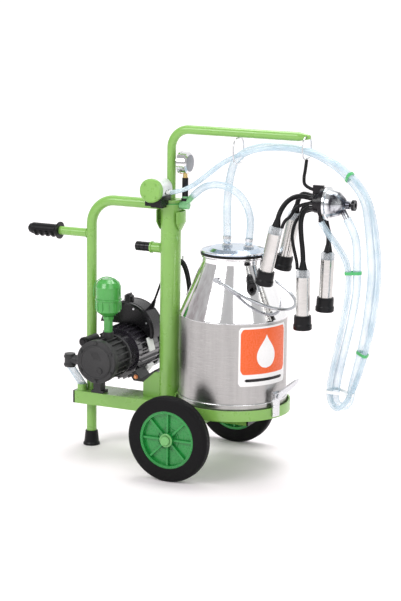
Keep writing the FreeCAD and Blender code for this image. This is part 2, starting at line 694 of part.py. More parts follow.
def machine_feet():
    """A foot under the pump on the rail, and one between the motor's side and the gusset."""
    plate = block("42", "34", "8", ("machine_x - 58", "-48", "rail_top"))
    web = block("26", "31", "70", ("machine_x - 50", "-48", "rail_top"))
    pump_foot = cut(joined(plate, web), rod("pump_radius + 0.05", "400", on_shaft("-200"), ALONG_Y))
    bolt = prism("5", "5", ("machine_x - 50", "-24", "rail_top + 8"))

    def side(sketch):
        slope_foot = "rail_top + gusset_rise * 0.55"
        corner = "column_x - column_radius - 18"
        outline(sketch, [("gusset_x - 34", "rail_top + 44"), ("gusset_x", slope_foot),
                         (corner, "rail_top + gusset_rise"), (corner, "rail_top + gusset_rise + 7"),
                         ("gusset_x - 8", f"{slope_foot} + 10"),
                         ("gusset_x - 34", "rail_top + gusset_rise + 4"),
                         ("gusset_x - 52", "rail_top + gusset_rise - 10")])
    flange = padded("XZ_Plane", side, "65", ("0", "60", "0"))
    motor_foot = cut(flange, rod("fin_radius + 0.05", "400", on_shaft("-200"), ALONG_Y))
    sub_part("machine_feet", grouped(joined(pump_foot, bolt), motor_foot))


def motor_housing():
    bore = "shaft_radius + running_gap"
    front = "(pump_back - motor_front)"
    length = "(motor_back - motor_front)"
    neck = "motor_bore - 10"
    body = revolved([(bore, front), (neck, front), (neck, "0"), ("motor_core", "0"),
                     ("motor_core", length), (bore, length), (bore, f"{length} - 6"),
                     ("motor_bore", f"{length} - 6"), ("motor_bore", "8"), (bore, "0")],
                    on_shaft("motor_front"), ALONG_Y)

    def fin(sketch):
        rectangle(sketch, "motor_core - 1", "fin_radius", "-1.4", "1.4")
    sketch = ring_of(body, 28, fin, f"{length} - 16")
    bind(sketch, "AttachmentOffset.Base.z", "6")
    sub_part("motor_housing", body)


def motor_stator():
    inner = "rotor_radius - 6"
    sub_part("motor_stator", revolved([(inner, "0"), ("motor_bore", "0"), ("motor_bore", "92"),
                                       (inner, "92")], on_shaft("motor_front + 22"), ALONG_Y))


def motor_rotor():
    """Shaft through pump and motor, with the motor's core and the cooling fan."""
    back = "(fan_cover_back - 14)"
    body = revolved([("0", "-112"), ("shaft_radius", "-112"), ("shaft_radius", "38"),
                     ("rotor_radius - 7", "38"), ("rotor_radius - 7", "134"), ("shaft_radius", "134"),
                     ("shaft_radius", f"{back} - 28"), ("motor_bore", f"{back} - 28"),
                     ("motor_bore", f"{back} - 25"), ("shaft_radius", f"{back} - 25"),
                     ("shaft_radius", back), ("0", back)], on_shaft("0"), ALONG_Y)

    def blade(sketch):
        rectangle(sketch, "shaft_radius - 1", "motor_bore - 2", "-1", "1")
    sketch = ring_of(body, 7, blade, "20")
    bind(sketch, "AttachmentOffset.Base.z", f"{back} - 26")
    sub_part("motor_rotor", body)


def fan_cover():
    length = "(fan_cover_back - motor_back)"
    body = revolved([("fan_cover_radius - 2", "0.2"), ("fan_cover_radius", "0.2"),
                     ("fan_cover_radius", f"{length} - 10"), ("fan_cover_radius - 10", length),
                     ("0", length), ("0", f"{length} - 2"), ("fan_cover_radius - 11", f"{length} - 2"),
                     ("fan_cover_radius - 2", f"{length} - 11")], on_shaft("motor_back"), ALONG_Y)
    sketch = sketch_on(body, "XY_Plane")
    bind(sketch, "AttachmentOffset.Base.z", f"{length} - 5")
    rectangle(sketch, "14", "44", "-3", "3")
    slot = body.newObject("PartDesign::Pocket", "Slot")
    slot.Profile = sketch
    slot.Length = 20
    slot.Reversed = True
    pattern = body.newObject("PartDesign::PolarPattern", "Slots")
    pattern.Originals = [slot]
    pattern.Axis = (sketch, ["N_Axis"])
    pattern.Angle = 360
    pattern.Occurrences = 12
    body.Tip = pattern
    base_ring = rod("fan_cover_radius - 2", "6", on_shaft("motor_back"), ALONG_Y)
    shaft_way = rod("motor_core - 4", "20", on_shaft("motor_back - 5"), ALONG_Y)
    sub_part("fan_cover", joined(body, cut(base_ring, shaft_way)))


BOX_TOP = "(box_height + box_radius)"


def terminal_box():
    """Drum lying along the motor, hollow above its floor and cut to sit on the fins."""
    length = "(box_back - box_front)"
    drum = revolved([("0", "0"), ("box_radius - 9", "0"), ("box_radius - 3", "2"), ("box_radius", "7"),
                     ("box_radius", f"{length} - 7"), ("box_radius - 3", f"{length} - 2"),
                     ("box_radius - 9", length), ("0", length)],
                    ("box_x", "box_front", "box_height"), ALONG_Y)
    left_under = block("200", "200", "200", ("box_x - 200", "0", "box_height - 175"))
    right_under = block("200", "200", "200", ("box_x - 1", "0", "box_height - 215"))
    saddle = rod("fin_radius + 0.1", "400", on_shaft("-100"), ALONG_Y)
    room = rod("box_radius - box_wall", f"{length} - 2 * box_wall", ("box_x", "box_front + box_wall",
                                                                     "box_height"), ALONG_Y)
    floor = block("400", "400", "400", ("-200", "-100", "box_height + 36 - 400"))
    spindle = rod("5.05", "80", ("switch_x", "switch_y", f"{BOX_TOP} - 60"))
    sub_part("terminal_box", cut(drum, left_under, right_under, saddle, cut(room, floor), spindle))


def switch_knob():
    body = revolved([("0", "-18"), ("5", "-18"), ("5", "1"), ("switch_radius", "1"),
                     ("switch_radius", "16"), ("switch_radius - 3", "19"), ("0", "19")],
                    ("switch_x", "switch_y", BOX_TOP))
    grip = block("6", "2 * switch_radius - 4", "5", ("switch_x - 3", "switch_y - switch_radius + 2",
                                                    f"{BOX_TOP} + 19"))
    sub_part("switch_knob", joined(body, grip))


def filter_bowl():
    seam = "(bowl_low + 52)"
    points = [("0", "filter_foot"), ("14", "filter_foot"), ("14", "bowl_low - 2"), ("20", "bowl_low"),
              ("bowl_radius - 3", "bowl_low + 14"), ("bowl_radius - 2", f"{seam} - 3"),
              ("bowl_radius", f"{seam} - 3"), ("bowl_radius", f"{seam} + 3"),
              ("bowl_radius - 2", f"{seam} + 3"), ("bowl_radius - 1", "bowl_top - 26"),
              ("bowl_radius - 7", "bowl_top - 12"), ("bowl_radius - 20", "bowl_top - 2"), ("0", "bowl_top"),
              ("0", "bowl_top - 4"), ("bowl_radius - 22", "bowl_top - 6"),
              ("bowl_radius - 11", "bowl_top - 15"), ("bowl_radius - 5", "bowl_top - 28"),
              ("bowl_radius - 6", "bowl_low + 18"), ("0", "bowl_low + 8")]
    sub_part("filter_bowl", revolved(points, ("filter_x", "filter_y", "0")))


# ---- milk can ------------------------------------------------------------------------------

def can_body():
    foot = "can_foot"
    body = revolved([("0", f"{foot} + 8"), ("can_radius - 5", f"{foot} + 8"), ("can_radius - 5", foot),
                     ("can_radius + 2.5", foot), ("can_radius + 2.5", f"{foot} + 41"),
                     ("can_radius", f"{foot} + 43"), ("can_radius", "can_shoulder"),
                     ("neck_radius", "can_neck"), ("neck_radius", "can_mouth - 5"),
                     ("neck_radius + 3", "can_mouth - 5"), ("neck_radius + 3", "can_mouth"),
                     ("neck_radius - sheet", "can_mouth"), ("neck_radius - sheet", "can_neck"),
                     ("can_radius - sheet", "can_shoulder"), ("can_radius - sheet", f"{foot} + 10"),
                     ("0", f"{foot} + 10")], ("can_x", "0", "0"))
    shoulder = size("can_shoulder")
    wide = 2 * size("can_radius") - 10
    rounded(body, "14", lambda edge: abs(edge.BoundBox.ZMin - shoulder) < 0.5
            and edge.BoundBox.ZLength < 0.5 and edge.BoundBox.XLength > wide)
    reach = "(bail_half - 5)"
    ears = [rod("6", "16", ("can_x", y, "bail_height"), ALONG_Y) for y in (f"-{reach}", f"{reach} - 16")]
    sub_part("can_body", joined(body, *ears))


def lid_gasket():
    sub_part("lid_gasket", revolved([("neck_radius - 12", "can_mouth"), ("lid_radius + 1.5", "can_mouth"),
                                     ("lid_radius + 1.5", "can_mouth + 8"),
                                     ("neck_radius - 12", "can_mouth + 8")], ("can_x", "0", "0")))


def can_lid():
    low = "can_mouth + 8"
    plate = revolved([("0", low), ("lid_radius", low), ("lid_radius", f"{low} + 3"),
                      ("lid_radius - 20", f"{low} + 4"), ("lid_radius - 30", f"{low} + 13"),
                      ("0", f"{low} + 14")], ("can_x", "0", "0"))
    nipples = [rod("nipple_radius", "nipple_top - can_mouth - 10", (x, "0", "can_mouth + 10"))
               for x in ("milk_nipple_x", "air_nipple_x")]
    sub_part("can_lid", joined(plate, *nipples))


def can_bail():
    half = size("bail_half")
    leg = size("bail_leg")
    radius = size("bail_radius")
    edges = [Part.LineSegment(Vector(0, -half, 0), Vector(leg, -half, 0)).toShape(),
             Part.Arc(Vector(leg, -half, 0), Vector(leg + half, 0, 0), Vector(leg, half, 0)).toShape(),
             Part.LineSegment(Vector(leg, half, 0), Vector(0, half, 0)).toShape()]
    bow = swept(Part.Wire(edges), radius)
    eyes = [Part.makeCylinder(9, 8, Vector(0, y - 4, 0), Vector(0, 1, 0)) for y in (-half, half)]
    shape = bow.fuse(eyes).removeSplitter()
    turn = Rotation(Vector(0, 1, 0), size("bail_droop"))
    sub_part("can_bail", shaped("Bail", shape, Vector(size("can_x"), 0, size("bail_height")), turn))


def latch_base():
    turn = Rotation(Vector(0, 0, 1), size("latch_turn"))
    gap = "ring_radius + 0.8"
    plate = block("5", "30", "latch_height + 14 - rail_top - 6", (gap, "-15", "rail_top + 6"))
    pin = rod("4", "14", (f"{gap} + 4", "0", "latch_height"), ALONG_X)
    head = rod("7", "2", (f"{gap} + 15", "0", "latch_height"), ALONG_X)
    whole = joined(plate, pin, head)
    place(whole, ("can_x", "0", "0"), turn)
    sub_part("latch_base", whole)


def latch_lever():
    turn = Rotation(Vector(0, 0, 1), size("latch_turn"))

    def side(sketch):
        outline(sketch, [("-14", "-9"), ("12", "-9"), ("latch_reach - 8", "26"), ("latch_reach", "38"),
                         ("latch_reach - 14", "37"), ("6", "12"), ("-14", "9")])
    blade = padded("YZ_Plane", side, "7", ("ring_radius + 6.5", "0", "latch_height"))
    eye = rod("4 + running_gap", "60", ("ring_radius - 10", "0", "latch_height"), ALONG_X)
    whole = cut(blade, eye)
    place(whole, ("can_x", "0", "0"), turn)
    sub_part("latch_lever", whole)


# ---- milking cluster -----------------------------------------------------------------------

def claw_bowl():
    body = revolved([("claw_radius - 5", "0"), ("claw_radius", "0"), ("claw_radius", "6"),
                     ("claw_radius - 6", "8"), ("claw_radius - 10", "18"), ("claw_radius - 15", "38"),
                     ("claw_radius - 30", "54"), ("12", "60"), ("12", "72"), ("plunger_radius + 0.05", "72"),
                     ("plunger_radius + 0.05", "58"), ("claw_radius - 33", "51"),
                     ("claw_radius - 18", "36"), ("claw_radius - 13", "16"), ("claw_radius - 11", "3"),
                     ("claw_radius - 5", "3")], ("claw_x", "0", "claw_height"), ALONG_X)
    slope = Rotation(Vector(0, 1, 0), 150)
    nipple = rod("nipple_radius", "26", ("claw_x + 50", "0", "claw_height - 18"), slope)
    sub_part("claw_bowl", joined(body, nipple))


def claw_distributor():
    disc = revolved([("0", "-36"), ("30", "-36"), ("32", "-16"), ("claw_radius - 3", "-14"),
                     ("claw_radius - 3", "-0.1"), ("0", "-0.1")], ("claw_x", "0", "claw_height"), ALONG_X)
    ports = []
    for angle in (135, 45, 225):
        y = 21 * math.cos(math.radians(angle))
        z = 21 * math.sin(math.radians(angle))
        ports.append(rod("short_milk_radius", "14", ("claw_x - 48", f"{y:.3f}", f"claw_height + {z:.3f}"),
                         ALONG_X))
    for angle in (180, 0, 270):
        y = 23 * math.cos(math.radians(angle))
        z = 23 * math.sin(math.radians(angle))
        ports.append(rod("short_pulse_radius", "14", ("claw_x - 48", f"{y:.3f}", f"claw_height + {z:.3f}"),
                         ALONG_X))
    ports.append(rod("short_milk_radius", "20", ("claw_x - 8.3", "17", "claw_height - 55")))
    ports.append(rod("short_pulse_radius", "20", ("claw_x - 7", "1", "claw_height - 57")))
    ports += [rod("5", "26", ("claw_x - 8.3", y, "claw_height - 52")) for y in ("-32", "-17")]
    lug = block("32", "12", "30", ("claw_x - 44", "-6", "claw_height + 22"))
    sub_part("claw_distributor", joined(disc, lug, *ports))


def claw_knob():
    body = revolved([("0", "46"), ("9", "46"), ("9", "49"), ("plunger_radius", "49"),
                     ("plunger_radius", "79"), ("16", "79"), ("16", "88"), ("7", "88"), ("7", "84"),
                     ("0", "84")], ("claw_x", "0", "claw_height"), ALONG_X)
    sub_part("claw_knob", body)


# Each cup: where its mouth hangs, and how far its top leans towards +X, in degrees.
CUPS = [
    (Vector(625, -92, 594), 12),
    (Vector(627, 45, 619), 12.5),
    (Vector(732, -40, 459), -1),
    (Vector(777, 20, 508), 2),
]


def up_of(lean):
    return Vector(math.sin(math.radians(lean)), 0, math.cos(math.radians(lean)))


def cup_pieces(points):
    """One revolved piece per teat cup, leaning with its cup."""
    pieces = []
    for mouth, lean in CUPS:
        at = tuple(f"{number}" for number in mouth)
        pieces.append(revolved(points, at, Rotation(Vector(0, 1, 0), lean)))
    return pieces


def teat_cup_shells():
    low = "mouth_height"
    high = "mouth_height + shell_height"
    inner = "shell_radius - 1.5"
    sub_part("teat_cup_shells", grouped(*cup_pieces([(inner, low), ("shell_radius", low),
                                                     ("shell_radius", high), (inner, high)])))


def teat_cup_liners():
    full = "(mouth_height + shell_height + cap_height)"
    points = [("teat_radius", "0"), ("mouth_radius - 2", "0"), ("mouth_radius", "3"),
              ("mouth_radius", "14"), ("mouth_radius - 2", "18"), ("mouth_radius - 2", "mouth_height - 8"),
              ("mouth_radius - 3", "mouth_height"), ("barrel_radius", "mouth_height"),
              ("barrel_radius", full), ("short_milk_radius", f"{full} + cone_height"),
              ("0", f"{full} + cone_height"), ("0", f"{full} - 4"), ("teat_radius", f"{full} - 4"),
              ("teat_radius", "mouth_height - 8"), ("mouth_radius - 9", "mouth_height - 12"),
              ("mouth_radius - 9", "7"), ("teat_radius", "4")]
    sub_part("teat_cup_liners", grouped(*cup_pieces(points)))


def teat_cup_caps():
    low = "mouth_height + shell_height"
    inner = "barrel_radius + 0.02"
    points = [(inner, low), ("shell_radius", low), ("shell_radius", f"{low} + cap_height - 6"),
              ("shell_radius - 4", f"{low} + cap_height"), (inner, f"{low} + cap_height")]
    sub_part("teat_cup_caps", grouped(*cup_pieces(points)))


def cup_point(index, height, aside=0.0, across=0.0):
    """A point on a cup: height along its axis, aside towards the claw, across along Y."""
    mouth, lean = CUPS[index]
    up = up_of(lean)
    return mouth + up * height + Vector(up.z, 0, -up.x) * aside + Vector(0, across, 0)


def claw_rubber_tubes():
    """Hanging strap tube, and a milk and a pulse tube from the claw to each cup."""
    claw = Vector(size("claw_x"), 0, size("claw_height"))
    cone = size("mouth_height") + size("shell_height") + size("cap_height") + size("cone_height")
    side = cone - size("cone_height")
    left = claw + Vector(-48, 0, 0)
    hang_x = size("arm_reach") + size("tip_length") - 10
    hang_z = size("arm_height") - 64 - size("wire_radius")
    around = 21 * math.sqrt(0.5)
    milk = size("short_milk_radius")
    pulse = size("short_pulse_radius")
    routes = [
        (5, [(hang_x, 0, hang_z), (hang_x - 3, 0, hang_z - 30), (hang_x - 8, 0, hang_z - 56),
             (hang_x - 4, 0, hang_z - 80), (left.x + 4, 0, claw.z + 38)]),
        (milk, [left + Vector(0, -around, around), left + Vector(-24, -18, 20),
                left + Vector(-44, -38, 17), left + Vector(-58, -64, 2), cup_point(0, cone + 16),
                cup_point(0, cone)]),
        (milk, [left + Vector(0, around, around), left + Vector(-24, 20, 20),
                left + Vector(-44, 30, 18), cup_point(1, cone + 18), cup_point(1, cone)]),
        (milk, [left + Vector(0, -around, -around), left + Vector(-16, -17, -20),
                left + Vector(-24, -26, -50), left + Vector(-18, -36, -92), cup_point(2, cone + 22),
                cup_point(2, cone)]),
        (milk, [claw + Vector(-8.3, 17, -55), claw + Vector(-5, 18, -72), claw + Vector(0, 20, -90),
                cup_point(3, cone + 12), cup_point(3, cone)]),
        (pulse, [left + Vector(0, -23, 0), left + Vector(-20, -32, -4), left + Vector(-34, -50, -16),
                 left + Vector(-38, -70, -36), cup_point(0, side + 20, 18.5), cup_point(0, side, 18.5)]),
        (pulse, [left + Vector(0, 23, 0), left + Vector(-20, 30, -6), left + Vector(-32, 38, -22),
                 cup_point(1, side + 22, 18.5), cup_point(1, side, 18.5)]),
        (pulse, [left + Vector(0, 0, -23), left + Vector(-22, -4, -28), left + Vector(-44, -16, -56),
                 left + Vector(-52, -28, -98), cup_point(2, side + 46, -26), cup_point(2, side + 18, -18.5),
                 cup_point(2, side, -18.5)]),
        (pulse, [claw + Vector(-7, 1, -57), claw + Vector(-8, 1, -76), cup_point(3, side + 44, 8, -20),
                 cup_point(3, side + 20, 4, -18), cup_point(3, side, 4, -18)]),
    ]
    solids = [hose_shape(f"rubber tube {i}", route, radius) for i, (radius, route) in enumerate(routes)]
    sub_part("claw_rubber_tubes", shaped("RubberTubes", Part.makeCompound(solids)))


# ---- hoses and mains lead ------------------------------------------------------------------

MILK_ROUTE = [
    (465, 0, 694), (464, 2, 730), (459, 6, 800), (464, 10, 885), (482, 13, 950), (540, 14, 982),
    (622, 14, 992), (712, 14, 986), (786, 12, 957), (846, 9, 916), (892, 5, 856), (911, 2, 780),
    (924, 0, 700), (930, 0, 632), (925, 0, 560), (917, 0, 480), (902, 0, 390), (880, 0, 300),
    (871, 0, 229), (825, 0, 229), (829, 0, 292), (838, 0, 338), (849, 0, 392),
    (864, 0, 460), (878, 0, 535), (885, 0, 590), (883, 0, 650), (882, 0, 700), (874, 0, 750),
    (847, 0, 794.5),
]
PULSE_ROUTE = [
    (300, -55, 839), (330, -54, 845), (366, -47, 862), (408, -38, 896), (452, -30, 934),
    (500, -25, 960), (560, -22, 980), (632, -21, 994), (716, -20, 990), (792, -19, 968),
    (860, -17, 926), (912, -13, 866), (934, -9, 786), (946, -8, 704), (951, -8, 632),
    (946, -10, 560), (938, -14, 480), (921, -20, 394), (902, -28, 318), (877, -36, 256),
    (848, -37, 222), (821, -36, 244), (816, -34, 290), (824, -32, 338), (831, -28, 384),
    (843, -21, 455), (856, -18, 530), (862, -18, 590), (861, -18, 640), (852, -21, 676),
    (826, -26, 716), (796, -30, 752), (775.7, -32, 783),
]
PULSE_SPREAD = 15
AIR_ROUTE = [
    (348.9, 0, 825.9), (370, -6, 845), (404, -18, 864), (448, -26, 871), (492, -28, 862),
    (528, -22, 830), (544, -8, 780), (540, -1, 730), (536, 0, 694),
]
LEAD_ROUTE = [
    (136, 150, 431), (143, 148, 446), (158, 138, 474), (180, 119, 512), (201, 97, 545),
    (220, 80, 570), (236, 68, 586),
]


def hoses():
    sub_part("milk_tube", shaped("MilkTube", hose_shape("milk tube", MILK_ROUTE, size("milk_hose_radius"))))
    for label, step in (("pulse_tube_near", 0), ("pulse_tube_far", 1)):
        route = pulse_route(step)
        sub_part(label, shaped("PulseTube", hose_shape(label, route, size("pulse_hose_radius"))))
    sub_part("vacuum_hose", shaped("VacuumHose", hose_shape("vacuum hose", AIR_ROUTE,
                                                            size("air_hose_radius"))))


def pulse_route(step):
    """The twin pulse tubes run side by side, the far one a spread further back."""
    return [(x, y + PULSE_SPREAD * step, z) for x, y, z in PULSE_ROUTE]


def coil_wire():
    half_width = size("coil_half_width")
    straight = size("coil_half_height") - half_width
    edges = [Part.LineSegment(Vector(half_width, 0, -straight), Vector(half_width, 0, straight)).toShape(),
             Part.Arc(Vector(half_width, 0, straight), Vector(0, 0, straight + half_width),
                      Vector(-half_width, 0, straight)).toShape(),
             Part.LineSegment(Vector(-half_width, 0, straight), Vector(-half_width, 0, -straight)).toShape(),
             Part.Arc(Vector(-half_width, 0, -straight), Vector(0, 0, -straight - half_width),
                      Vector(half_width, 0, -straight)).toShape()]
    return Part.Wire(edges)


def mains_lead():
    sub_part("mains_lead", shaped("Lead", hose_shape("mains lead", LEAD_ROUTE, size("lead_radius"))))
    centre = Vector(size("column_x"), size("coil_y"), size("coil_height"))
    sub_part("lead_coil", shaped("Coil", swept(coil_wire(), size("coil_radius")), centre))


def plug():
    top = "coil_height - coil_half_height - coil_radius"
    body = revolved([("0", "-11"), ("6", "-11"), ("5", "0"), ("0", "0")], ("column_x", "coil_y", top))
    barrel = revolved([("0", "-46"), ("18", "-46"), ("18", "-24"), ("12", "-14"), ("6", "-11"),
                       ("0", "-11")], ("column_x", "coil_y", top))
    pins = [rod("2.4", "19", (f"column_x + {x}", "coil_y", f"{top} - 65")) for x in (-9.5, 9.5)]
    sub_part("plug", joined(body, barrel, *pins))


# ---- build and check -----------------------------------------------------------------------

def build():
    for make in (spine_rail, rail_end_caps, rear_post_tube, leg_tube, foot_boot, column_tube,
                 column_collar, motor_gusset, arm_tube, wire_hooks, can_cradle, axle, axle_nuts):
        make()
    for side, y in (("near", "-wheel_y"), ("far", "wheel_y")):
        wheel_rim(side, y)
        wheel_tyre(side, y)
    for make in (handle_stub, handle_grip, regulator_body, regulator_knob, vacuum_tee, gauge_case,
                 gauge_pointer, pulsator_body, pulsator_cover, pulsator_bracket, pump_body, pump_cover,
                 pump_rotor, pump_elbow, outlet_hose, machine_feet, motor_housing, motor_stator,
                 motor_rotor, fan_cover, terminal_box, switch_knob, filter_bowl, can_body, lid_gasket,
                 can_lid, can_bail, latch_base, latch_lever, claw_bowl, claw_distributor, claw_knob,
                 teat_cup_shells, teat_cup_liners, teat_cup_caps, claw_rubber_tubes, hoses,
                 mains_lead, plug):
        make()
    doc.recompute()


def check_and_export():
    broken = [thing.Label for thing in doc.Objects
              if "Invalid" in thing.State or "Error" in thing.State]
    for thing in SUB_PARTS:
        if thing.Shape.isNull() or not thing.Shape.isValid() or not thing.Shape.Solids:
            broken.append(thing.Label)
    if broken:
        raise RuntimeError(f"failed objects: {broken}")
    for thing in SUB_PARTS:
        thing.Shape.exportStep(f"parts/{thing.Label}.step")
    print(len(SUB_PARTS), "sub-parts")


build()
check_and_export()
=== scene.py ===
import bmesh
import bpy
import json
import math
from mathutils import Matrix, Vector


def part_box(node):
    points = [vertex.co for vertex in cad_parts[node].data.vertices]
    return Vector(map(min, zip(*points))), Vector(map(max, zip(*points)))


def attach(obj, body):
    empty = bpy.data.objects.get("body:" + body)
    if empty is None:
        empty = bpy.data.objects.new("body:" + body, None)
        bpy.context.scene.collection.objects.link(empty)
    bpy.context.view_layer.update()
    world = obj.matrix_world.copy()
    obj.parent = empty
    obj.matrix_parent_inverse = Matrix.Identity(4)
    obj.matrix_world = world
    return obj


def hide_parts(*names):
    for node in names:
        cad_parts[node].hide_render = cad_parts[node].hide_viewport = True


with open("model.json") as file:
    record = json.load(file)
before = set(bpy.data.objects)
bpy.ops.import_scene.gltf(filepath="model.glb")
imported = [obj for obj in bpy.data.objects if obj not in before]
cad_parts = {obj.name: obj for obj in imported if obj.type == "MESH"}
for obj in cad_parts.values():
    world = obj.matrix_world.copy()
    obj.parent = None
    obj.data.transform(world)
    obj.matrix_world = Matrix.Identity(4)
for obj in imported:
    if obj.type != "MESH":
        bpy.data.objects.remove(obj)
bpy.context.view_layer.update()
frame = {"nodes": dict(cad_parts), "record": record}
nodes = frame["nodes"]
scene = bpy.context.scene
TAU = 2 * math.pi
MM = 0.001


def mm(x, y, z):
    """A point given in millimetres, in metres."""
    return Vector((x, y, z)) * MM


# ---- directions, and places in millimetres as in the CAD -----------------------------------

UP = (0, 0, 1)
FORWARD = (1, 0, 0)
NEAR_SIDE = (0, -1, 0)
CAN_X = 490
CAN_WALL = 164.5
CAN_NECK = 100.5
CAN_SEAM = 476
LABEL_AT = -29.0  # degrees round the can
SHAFT_X, SHAFT_Z = 82, 303
DRUM_X, DRUM_Z = 77, 360
FILTER_X, FILTER_Y = 83, -45
WHEEL_X, WHEEL_Z = 395, 130
COLUMN_X = 275
COLUMN_WALL = 31.5
TEE_X = 322
GAUGE_Z = 925
CLAW = Vector((784, 0, 835))

# The gauge as the frame has it, in metres: where its case ends and the height of its centre.
GAUGE_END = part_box("gauge_case")[1].x
GAUGE_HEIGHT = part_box("gauge_case")[1].z - 34.5 * MM


# ---- materials -----------------------------------------------------------------------------

class Paint:
    """A procedural material: a Principled shader with the textures that feed it."""

    def __init__(self, name, stretch=(1, 1, 1), **fixed):
        self.material = bpy.data.materials.new(name)
        self.material.use_nodes = True
        self.tree = self.material.node_tree
        self.shader = self.tree.nodes["Principled BSDF"]
        for socket, value in fixed.items():
            self.shader.inputs[socket.replace("_", " ")].default_value = value
        where = self.node("ShaderNodeTexCoord")
        self.coords = self.node("ShaderNodeMapping")
        self.coords.inputs["Scale"].default_value = stretch
        self.link(where.outputs["Object"], self.coords.inputs["Vector"])
        self.place = where.outputs["Object"]

    def node(self, kind, **settings):
        made = self.tree.nodes.new(kind)
        for key, value in settings.items():
            setattr(made, key, value)
        return made

    def link(self, source, target):
        self.tree.links.new(source, target)

    def noise(self, scale, detail=4.0, rough=0.55, vector=None):
        made = self.node("ShaderNodeTexNoise")
        made.inputs["Scale"].default_value = scale
        made.inputs["Detail"].default_value = detail
        made.inputs["Roughness"].default_value = rough
        self.link(vector or self.coords.outputs["Vector"], made.inputs["Vector"])
        return made.outputs["Fac"]

    def ranged(self, source, low, high, to_low=0.0, to_high=1.0):
        made = self.node("ShaderNodeMapRange")
        for socket, value in (("From Min", low), ("From Max", high), ("To Min", to_low), ("To Max", to_high)):
            made.inputs[socket].default_value = value
        self.link(source, made.inputs["Value"])
        return made.outputs["Result"]

    def math(self, operation, first, second=0.0):
        made = self.node("ShaderNodeMath", operation=operation)
        for index, value in enumerate((first, second)):
            if isinstance(value, (int, float)):
                made.inputs[index].default_value = value
            else:
                self.link(value, made.inputs[index])
        return made.outputs[0]

    def mixed(self, factor, first, second):
        made = self.node("ShaderNodeMix", data_type="RGBA")
        self.link(factor, made.inputs[0])
        for socket, value in ((made.inputs[6], first), (made.inputs[7], second)):
            if isinstance(value, tuple):
                socket.default_value = (*value, 1.0)
            else:
                self.link(value, socket)
        return made.outputs[2]

    def axis(self, name):
        parts = self.node("ShaderNodeSeparateXYZ")
        self.link(self.place, parts.inputs[0])
        return parts.outputs[name]

    def colour(self, source):
        self.link(source, self.shader.inputs["Base Color"])

    def rough(self, source):
        self.link(source, self.shader.inputs["Roughness"])

    def bump(self, height, strength, distance):
        made = self.node("ShaderNodeBump")
        made.inputs["Strength"].default_value = strength
        made.inputs["Distance"].default_value = distance
        self.link(height, made.inputs["Height"])
        self.link(made.outputs["Normal"], self.shader.inputs["Normal"])


def finish_of(name, tone, second, rough, grain, bump, stretch=(1, 1, 1), depth=0.0004, dust=None, **fixed):
    """A finish whose colour drifts in patches and whose gloss and surface follow a grain.

    dust is a colour and how much of it lies on the worn places.
    """
    paint = Paint(name, stretch, **fixed)
    patches = paint.ranged(paint.noise(7.0, 3.0, 0.5, paint.place), 0.35, 0.65)
    colour = paint.mixed(patches, tone, second)
    texture = paint.noise(grain)
    if dust:
        worn = paint.ranged(paint.noise(38.0, 6.0, 0.7, paint.place), 0.58, 0.8, 0.0, dust[1])
        colour = paint.mixed(worn, colour, dust[0])
    paint.colour(colour)
    paint.rough(paint.ranged(texture, 0.3, 0.7, rough[0], rough[1]))
    paint.bump(texture, bump, depth)
    return paint.material


FLOOR_DUST = (0.20, 0.21, 0.12)


def enamel(name, tone, second):
    """Glossy enamel: a fine orange peel, faint dust low on the machine, a clear coat."""
    paint = Paint(name, Coat_Weight=0.35, Coat_Roughness=0.12, Specular_IOR_Level=0.55)
    patches = paint.ranged(paint.noise(5.0, 3.0), 0.3, 0.7)
    colour = paint.mixed(patches, tone, second)
    low_down = paint.ranged(paint.axis("Z"), 0.05, 0.30, 0.18, 0.02)
    speckle = paint.ranged(paint.noise(60.0, 8.0, 0.7), 0.5, 0.75)
    colour = paint.mixed(paint.math("MULTIPLY", low_down, speckle), colour, FLOOR_DUST)
    paint.colour(colour)
    paint.rough(paint.ranged(paint.noise(25.0, 5.0), 0.3, 0.7, 0.24, 0.38))
    paint.bump(paint.noise(420.0, 2.0), 0.12, 0.0003)
    return paint.material


def brushed(name, tone, second, rough, stretch, grain, bump):
    """Metal with drawn lines that run across the stretched axis."""
    paint = Paint(name, stretch, Metallic=1.0)
    lines = paint.noise(grain, 6.0, 0.65)
    cloud = paint.ranged(paint.noise(9.0, 3.0, 0.5, paint.place), 0.3, 0.7)
    paint.colour(paint.mixed(paint.math("MULTIPLY", lines, cloud), tone, second))
    paint.rough(paint.ranged(lines, 0.25, 0.75, rough[0], rough[1]))
    paint.bump(lines, bump, 0.0002)
    return paint.material


